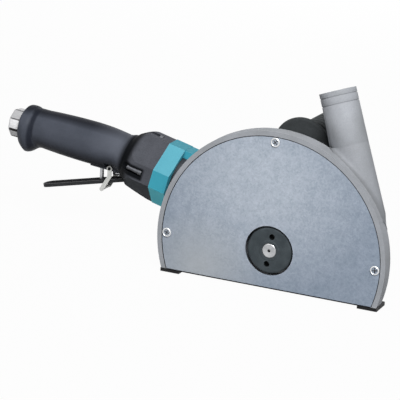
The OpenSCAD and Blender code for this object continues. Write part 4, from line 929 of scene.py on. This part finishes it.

# %% [markdown]
# ## Painted shade round the plate
# A thin dark line of shade runs round the plate and along its lower edge, and dark rubber pieces stand in for
# it. The round part is a closed tube with a small rounded profile, cut off at the base. The straight part is
# a long block with bevelled edges.

# %% Round shade ring and lower shade strip
shade_ring_outer_r, shade_ring_crown_r, shade_ring_lip_r, shade_ring_inner_r = 0.12148, 0.1211, 0.1207, 0.1206
shade_ring_back, shade_ring_side, shade_ring_end_z = -0.0009, -0.0002, -0.0394
gap_shade_rings = [(shade_ring_outer_r, shade_ring_back), (shade_ring_outer_r, shade_ring_side), (shade_ring_crown_r, 0.0),
              (shade_ring_lip_r, shade_ring_side), (shade_ring_inner_r, shade_ring_back), (shade_ring_outer_r, shade_ring_back)]
strip_at, strip_size, strip_bevel = (0, 0.0012, -0.0399), (0.228, 0.0026, 0.0012), 0.0003
# dark pieces that stand in for the shade in the gap round the plate
gap_shade_ring = ring_stack("plate_seal", gap_shade_rings, sides=192, closed=True)
put(gap_shade_ring, to_front)
edit_all(gap_shade_ring)
bpy.ops.mesh.bisect(plane_co=(0, 0, shade_ring_end_z), plane_no=(0, 0, -1), clear_outer=True, use_fill=True)
bpy.ops.object.mode_set(mode="OBJECT")
dress(gap_shade_ring, "seal_rubber", "hood")
gap_shade_strip = block("plate_strip", strip_at, strip_size, strip_bevel)
dress(gap_shade_strip, "seal_rubber", "hood")
print("seal faces:", len(gap_shade_ring.data.polygons), "strip faces:", len(gap_shade_strip.data.polygons))

# %% [markdown]
# ## The nut's pin holes
# A pin spanner turns the flange nut. Its two holes are wide and stand a little off the vertical. The
# softened copy is turned about the spindle, and the walls of each hole are scaled about the hole's axis.

# %% Turned nut with wider pin holes
hole_off, hole_r, hole_share, nut_turn = 0.015, 0.0033, 1.22, 8
nut = bpy.data.objects["soft_flange_nut"]
pick(nut)
for side in (1, -1):
    bpy.ops.object.mode_set(mode="EDIT")
    bpy.ops.mesh.select_all(action="DESELECT")
    bpy.ops.object.mode_set(mode="OBJECT")
    for vertex in nut.data.vertices:
        vertex.select = hypot(vertex.co.x, vertex.co.z - side * hole_off) < hole_r
    bpy.ops.object.mode_set(mode="EDIT")
    hole_at = (0, 0, side * hole_off)
    bpy.ops.transform.resize(value=(hole_share, 1.0, hole_share), center_override=hole_at)
    bpy.ops.object.mode_set(mode="OBJECT")
put(nut, Matrix.Rotation(radians(nut_turn), 4, "Y"))
print("nut turned, faces:", len(nut.data.polygons))

# %% [markdown]
# ## The grip's flared end
# The rubber grip flares out so that the hand can't slip off. Its rear end is full on top and cut to a cone
# underneath. The solid is evenly rounded there, so the copy's points behind the flare are moved in or out.

# %% End of the flare
flare_from, flare_depth, flare_drop = 0.1165, 0.007, 0.0024
end_r, flare_rise, bore_r = 0.0206, 0.0056, 0.0185
blend_height, cone_share, fullness = 0.024, 0.75, 5
grip_place = Matrix.Translation(grip_at) @ Matrix.Rotation(radians(grip_tilt - 90), 4, "Y")
to_grip = grip_place.inverted()
grip_copy = bpy.data.objects["soft_grip_sleeve"]
moved = 0
for vertex in grip_copy.data.vertices:
    spot = to_grip @ vertex.co
    across = spot.x + flare_drop
    if spot.z > flare_from and hypot(across, spot.y) > bore_r:
        share = min(1.0, (spot.z - flare_from) / flare_depth)
        round_r = end_r + flare_rise * sqrt(max(0.0, 1 - share * share))
        cone_r = end_r + flare_rise * (1 - share)
        full_r = end_r + flare_rise * (1 - share ** fullness) ** (1 / fullness)
        upper = min(1.0, max(0.0, 0.5 + spot.x / blend_height))
        lower_r = (1 - cone_share) * round_r + cone_share * cone_r
        pull = (upper * full_r + (1 - upper) * lower_r) / round_r
        vertex.co = grip_place @ Vector((across * pull - flare_drop, spot.y * pull, spot.z))
        moved += 1
print("points moved:", moved)

# %% [markdown]
# ## The long bolts
# The bolts in the troughs have a thick head and a thinner barrel behind it. The solid's barrel fills its
# trough, so on the copy each barrel is drawn in towards its own axis, a quarter turn apart from the next.

# %% Thinner bolt barrels
bolt_ring, barrel_from, barrel_share = 0.0324, 0.1795, 0.74
motor_place = Matrix.Translation(motor_at) @ Matrix.Rotation(radians(motor_tilt - 90), 4, "Y")
to_motor = motor_place.inverted()
quarter_turns = [radians(turn) for turn in (0, 90, 180, 270)]
bolt_axes = [Vector((bolt_ring * cos(turn), bolt_ring * sin(turn))) for turn in quarter_turns]
bolts = bpy.data.objects["soft_housing_bolts"]
for vertex in bolts.data.vertices:
    spot = to_motor @ vertex.co
    axis = min(bolt_axes, key=lambda each: (spot.xy - each).length)
    share = 1.0 if spot.z < barrel_from else barrel_share
    across = axis + (spot.xy - axis) * share
    vertex.co = motor_place @ Vector((across.x, across.y, spot.z))
print("bolt points:", len(bolts.data.vertices))

# %% [markdown]
# ## The valve's spring
# When the lever pushes the valve pin up, the pin shortens the spring above it. Here the spring is a softened
# copy of its solid, with a mesh of its own.

# %% Softened spring with its own mesh
spring = soften("valve_spring", 0.0001)
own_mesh(spring)

# %% [markdown]
# ## Ends of the latch pin
# The latch turns on a pin whose ends are blackened. Each end is a low cap with a rounded edge, a ring stack
# that is made once and copied for the other side.

# %% Two dark caps
pin_x, pin_z, near_y, far_y = -0.2192, 0.0359, 0.0694, 0.0906
cap_r, cap_top_r, cap_side, cap_top = 0.0017, 0.0014, 0.0003, 0.0006
cap = ring_stack("latch_pin_cap_1", [(cap_r, 0.0), (cap_r, cap_side), (cap_top_r, cap_top)], sides=24)
far_cap = bpy.data.objects.new("latch_pin_cap_2", cap.data.copy())
scene.collection.objects.link(far_cap)
put(cap, Matrix.Translation((pin_x, near_y, pin_z)) @ to_front)
put(far_cap, Matrix.Translation((pin_x, far_y, pin_z)) @ to_front.inverted())
for piece in (cap, far_cap):
    dress(piece, "seal_rubber", "tool")
print("cap faces:", len(cap.data.polygons))

# %% [markdown]
# ## The lever's stop
# A small black block under the housing stops the lever when it is pressed, and the leg of the lever's spring
# lies along it. The block has rounded edges. The wire is a thin ring stack with rounded ends.

# %% Stop block and spring leg
stop_at, stop_size, stop_bevel = (-0.2097, 0.08, 0.0313), (0.0134, 0.0154, 0.0046), 0.0006
stop = block("lever_stop", stop_at, stop_size, stop_bevel)
dress(stop, "lever_black", "tool")
leg_at, leg_turn = (-0.2044, 0.0717, 0.0318), -93
leg_r, leg_tip_r, leg_round, leg_len = 0.0006, 0.0003, 0.0004, 0.0082
leg_rings = [(leg_tip_r, 0.0), (leg_r, leg_round), (leg_r, leg_len - leg_round), (leg_tip_r, leg_len)]
leg = ring_stack("spring_leg", leg_rings, sides=16)
put(leg, Matrix.Translation(leg_at) @ Matrix.Rotation(radians(leg_turn), 4, "Y"))
dress(leg, "spring_steel", "tool")
print("stop faces:", len(stop.data.polygons), "leg faces:", len(leg.data.polygons))

# %% [markdown]
# ## The foot of the dust spout
# The spout is cast in one with the hood, and a soft hollow rounding leads from the one into the other. A
# bevel on the seam would need both in one mesh. Instead the copy of the spout is sliced across many times,
# so that it has points enough along its length.

# %% Slices across the spout
spout_lean, spout_back_lean, spout_at = -20.8, -7.3, (0.106, 0.02008, 0)
slice_from, slice_step, slice_count = -0.02, 0.002, 54
spout = bpy.data.objects["soft_dust_spout"]
spout_place = (
    Matrix.Rotation(radians(spout_lean), 4, "Y")
    @ Matrix.Translation(spout_at)
    @ Matrix.Rotation(radians(spout_back_lean), 4, "X")
)
spout_line = (spout_place.to_3x3() @ Vector((0, 0, 1))).normalized()
pick(spout)
bpy.ops.mesh.customdata_custom_splitnormals_clear()
edit_all(spout)
for step in range(slice_count):
    cut_at = spout_place @ Vector((0, 0, slice_from + slice_step * step))
    bpy.ops.mesh.select_all(action="SELECT")
    bpy.ops.mesh.bisect(plane_co=cut_at, plane_no=spout_line)
bpy.ops.object.mode_set(mode="OBJECT")
print("spout points:", len(spout.data.vertices))

# %% [markdown]
# ## The rounding at the foot
# The spout's outer points near the hood's skin are moved out along that skin, by the curve of a rounding. The
# skin is a cylinder in front, a rounded edge behind it and a flat back.

# %% Rounded foot of the spout
foot_r, foot_slack, least_slope, front_y = 0.0045, 0.0006, 0.2, 0.0012
hood_edge_r, hood_depth = 0.014, 0.027


def hood_skin(point):
    """Height above the hood's outer skin, and the skin's direction there."""
    inner_r, edge_y = hood_r - hood_edge_r, hood_depth - hood_edge_r
    reach = hypot(point.x, point.z)
    outward = Vector((point.x / reach, 0, point.z / reach))
    if point.y < edge_y:
        return reach - hood_r, outward
    if reach > inner_r:
        corner = outward * (reach - inner_r) + Vector((0, point.y - edge_y, 0))
        return corner.length - hood_edge_r, corner.normalized()
    return point.y - hood_depth, Vector((0, 1, 0))


to_spout = spout_place.inverted()
moves = {}
for vertex in spout.data.vertices:
    height, skin = hood_skin(vertex.co)
    flat = to_spout @ vertex.co
    radial = spout_place.to_3x3() @ Vector((flat.x, flat.y, 0))
    if -foot_slack < height < foot_r and vertex.normal.dot(radial) > 0:
        away = vertex.normal - skin * vertex.normal.dot(skin)
        if away.length > least_slope:
            lift = 1 - max(height, 0) / foot_r
            moves[vertex.index] = away.normalized() * foot_r * (1 - sqrt(1 - lift * lift))
for index, move in moves.items():
    vertex = spout.data.vertices[index]
    spot = vertex.co + move
    spot.y = max(spot.y, min(vertex.co.y, front_y))
    vertex.co = spot
smooth(angle=40)
print("spout points moved:", len(moves), "of", len(spout.data.vertices))

# %% [markdown]
# ## The side handle
# The second hand holds a moulded plastic handle with a round guard and shallow rings that keep the glove
# from slipping. The solid is plain, so the handle is built anew as one long ring stack with the solid's own
# outline, and the rings are pressed into it.

# %% Side handle with moulded rings
def ease(t):
    """Runs softly from 0 to 1."""
    return (1 - cos(pi * t)) / 2


guard_r, guard_t, neck_r, grip_r, handle_len = 0.0313, 0.006, 0.0198, 0.0202, 0.114
swell_at, tail_at, tail_r = handle_len * 0.4, handle_len - grip_r * 0.8, grip_r * 0.97
groove_from, groove_pitch, groove_count, groove_half, groove_depth = 0.024, 0.008, 9, 0.0016, 0.0009
handle_step, guard_steps, tail_steps, tail_turn = 0.0005, 12, 12, 7.6
handle_at = (0.01088, 0.04505, 0.10182)
handle_rings = []
for step in range(guard_steps + 1):
    lean = radians(180 / guard_steps * step - 90)
    handle_rings.append((guard_r - guard_t / 2 * (1 - cos(lean)), guard_t / 2 * (1 + sin(lean))))
height = 2 * guard_t
while height < tail_at:
    if height < swell_at:
        radius = neck_r + (grip_r - neck_r) * ease((height - 2 * guard_t) / (swell_at - 2 * guard_t))
    else:
        radius = grip_r + (tail_r - grip_r) * ease((height - swell_at) / (tail_at - swell_at))
    nearest = min(abs(height - groove_from - groove_pitch * number) for number in range(groove_count))
    handle_rings.append((radius - groove_depth * ease(max(0.0, 1 - nearest / groove_half)), height))
    height += handle_step
for step in range(tail_steps):
    lean = radians(tail_turn * step)
    handle_rings.append((tail_r * cos(lean), tail_at + (handle_len - tail_at) * sin(lean)))
handle = ring_stack("side_handle", handle_rings, sides=72)
put(handle, Matrix.Translation(handle_at) @ to_front.inverted())
smooth(angle=40)
settle(handle, "side_handle_grip")
print("handle faces:", len(handle.data.polygons))

# %% [markdown]
# ## The air inlet
# The hose screws into a steel nut with eight flats and a chamfered end. It is a closed tube with eight
# sides, turned so that one flat looks sideways and a little up.

# %% Nut of the air inlet
inlet_r, chamfer_r, inlet_bore_r, inlet_bevel = 0.0165, 0.0153, 0.0102, 0.0003
inlet_from, inlet_to = 0.1180, 0.1388
inlet_rings = [(inlet_r, inlet_from), (inlet_r, chamfer_from), (chamfer_r, inlet_to),
               (inlet_bore_r, inlet_to), (inlet_bore_r, inlet_from), (inlet_r, inlet_from)]
inlet = ring_stack("inlet_nut", inlet_rings, sides=8, closed=True)
put(inlet, grip_place @ Matrix.Rotation(radians(inlet_turn), 4, "Z"))
round_edges(inlet, inlet_bevel)
smooth(angle=30)
settle(inlet, "air_inlet")
print("inlet faces:", len(inlet.data.polygons))

# %% [markdown]
# ## The thread in the air inlet
# The hose screws into the inlet, so its bore carries a thread. At this size a stack of sharp rings looks the
# same as a helix, and it is a closed tube: zigzag inside, straight where it sits in the wall.

# %% Threaded bore
wall_r, root_r, crest_r = 0.0094, 0.0092, 0.0085
thread_from, thread_to, thread_pitch, thread_turns, thread_lead = 0.1240, 0.1382, 0.0018, 8, 0.0002
thread_rings = [(wall_r, thread_from), (wall_r, thread_to)]
for number in range(thread_turns):
    turn_top = thread_to - thread_pitch * number
    thread_rings.append((root_r, turn_top - thread_lead))
    thread_rings.append((crest_r, turn_top - thread_pitch / 2))
thread_rings += [(root_r, thread_from), (wall_r, thread_from)]
thread = ring_stack("inlet_thread", thread_rings, sides=48, closed=True)
put(thread, grip_place)
dress(thread, "inlet_steel", "tool", 25)
print("thread faces:", len(thread.data.polygons))
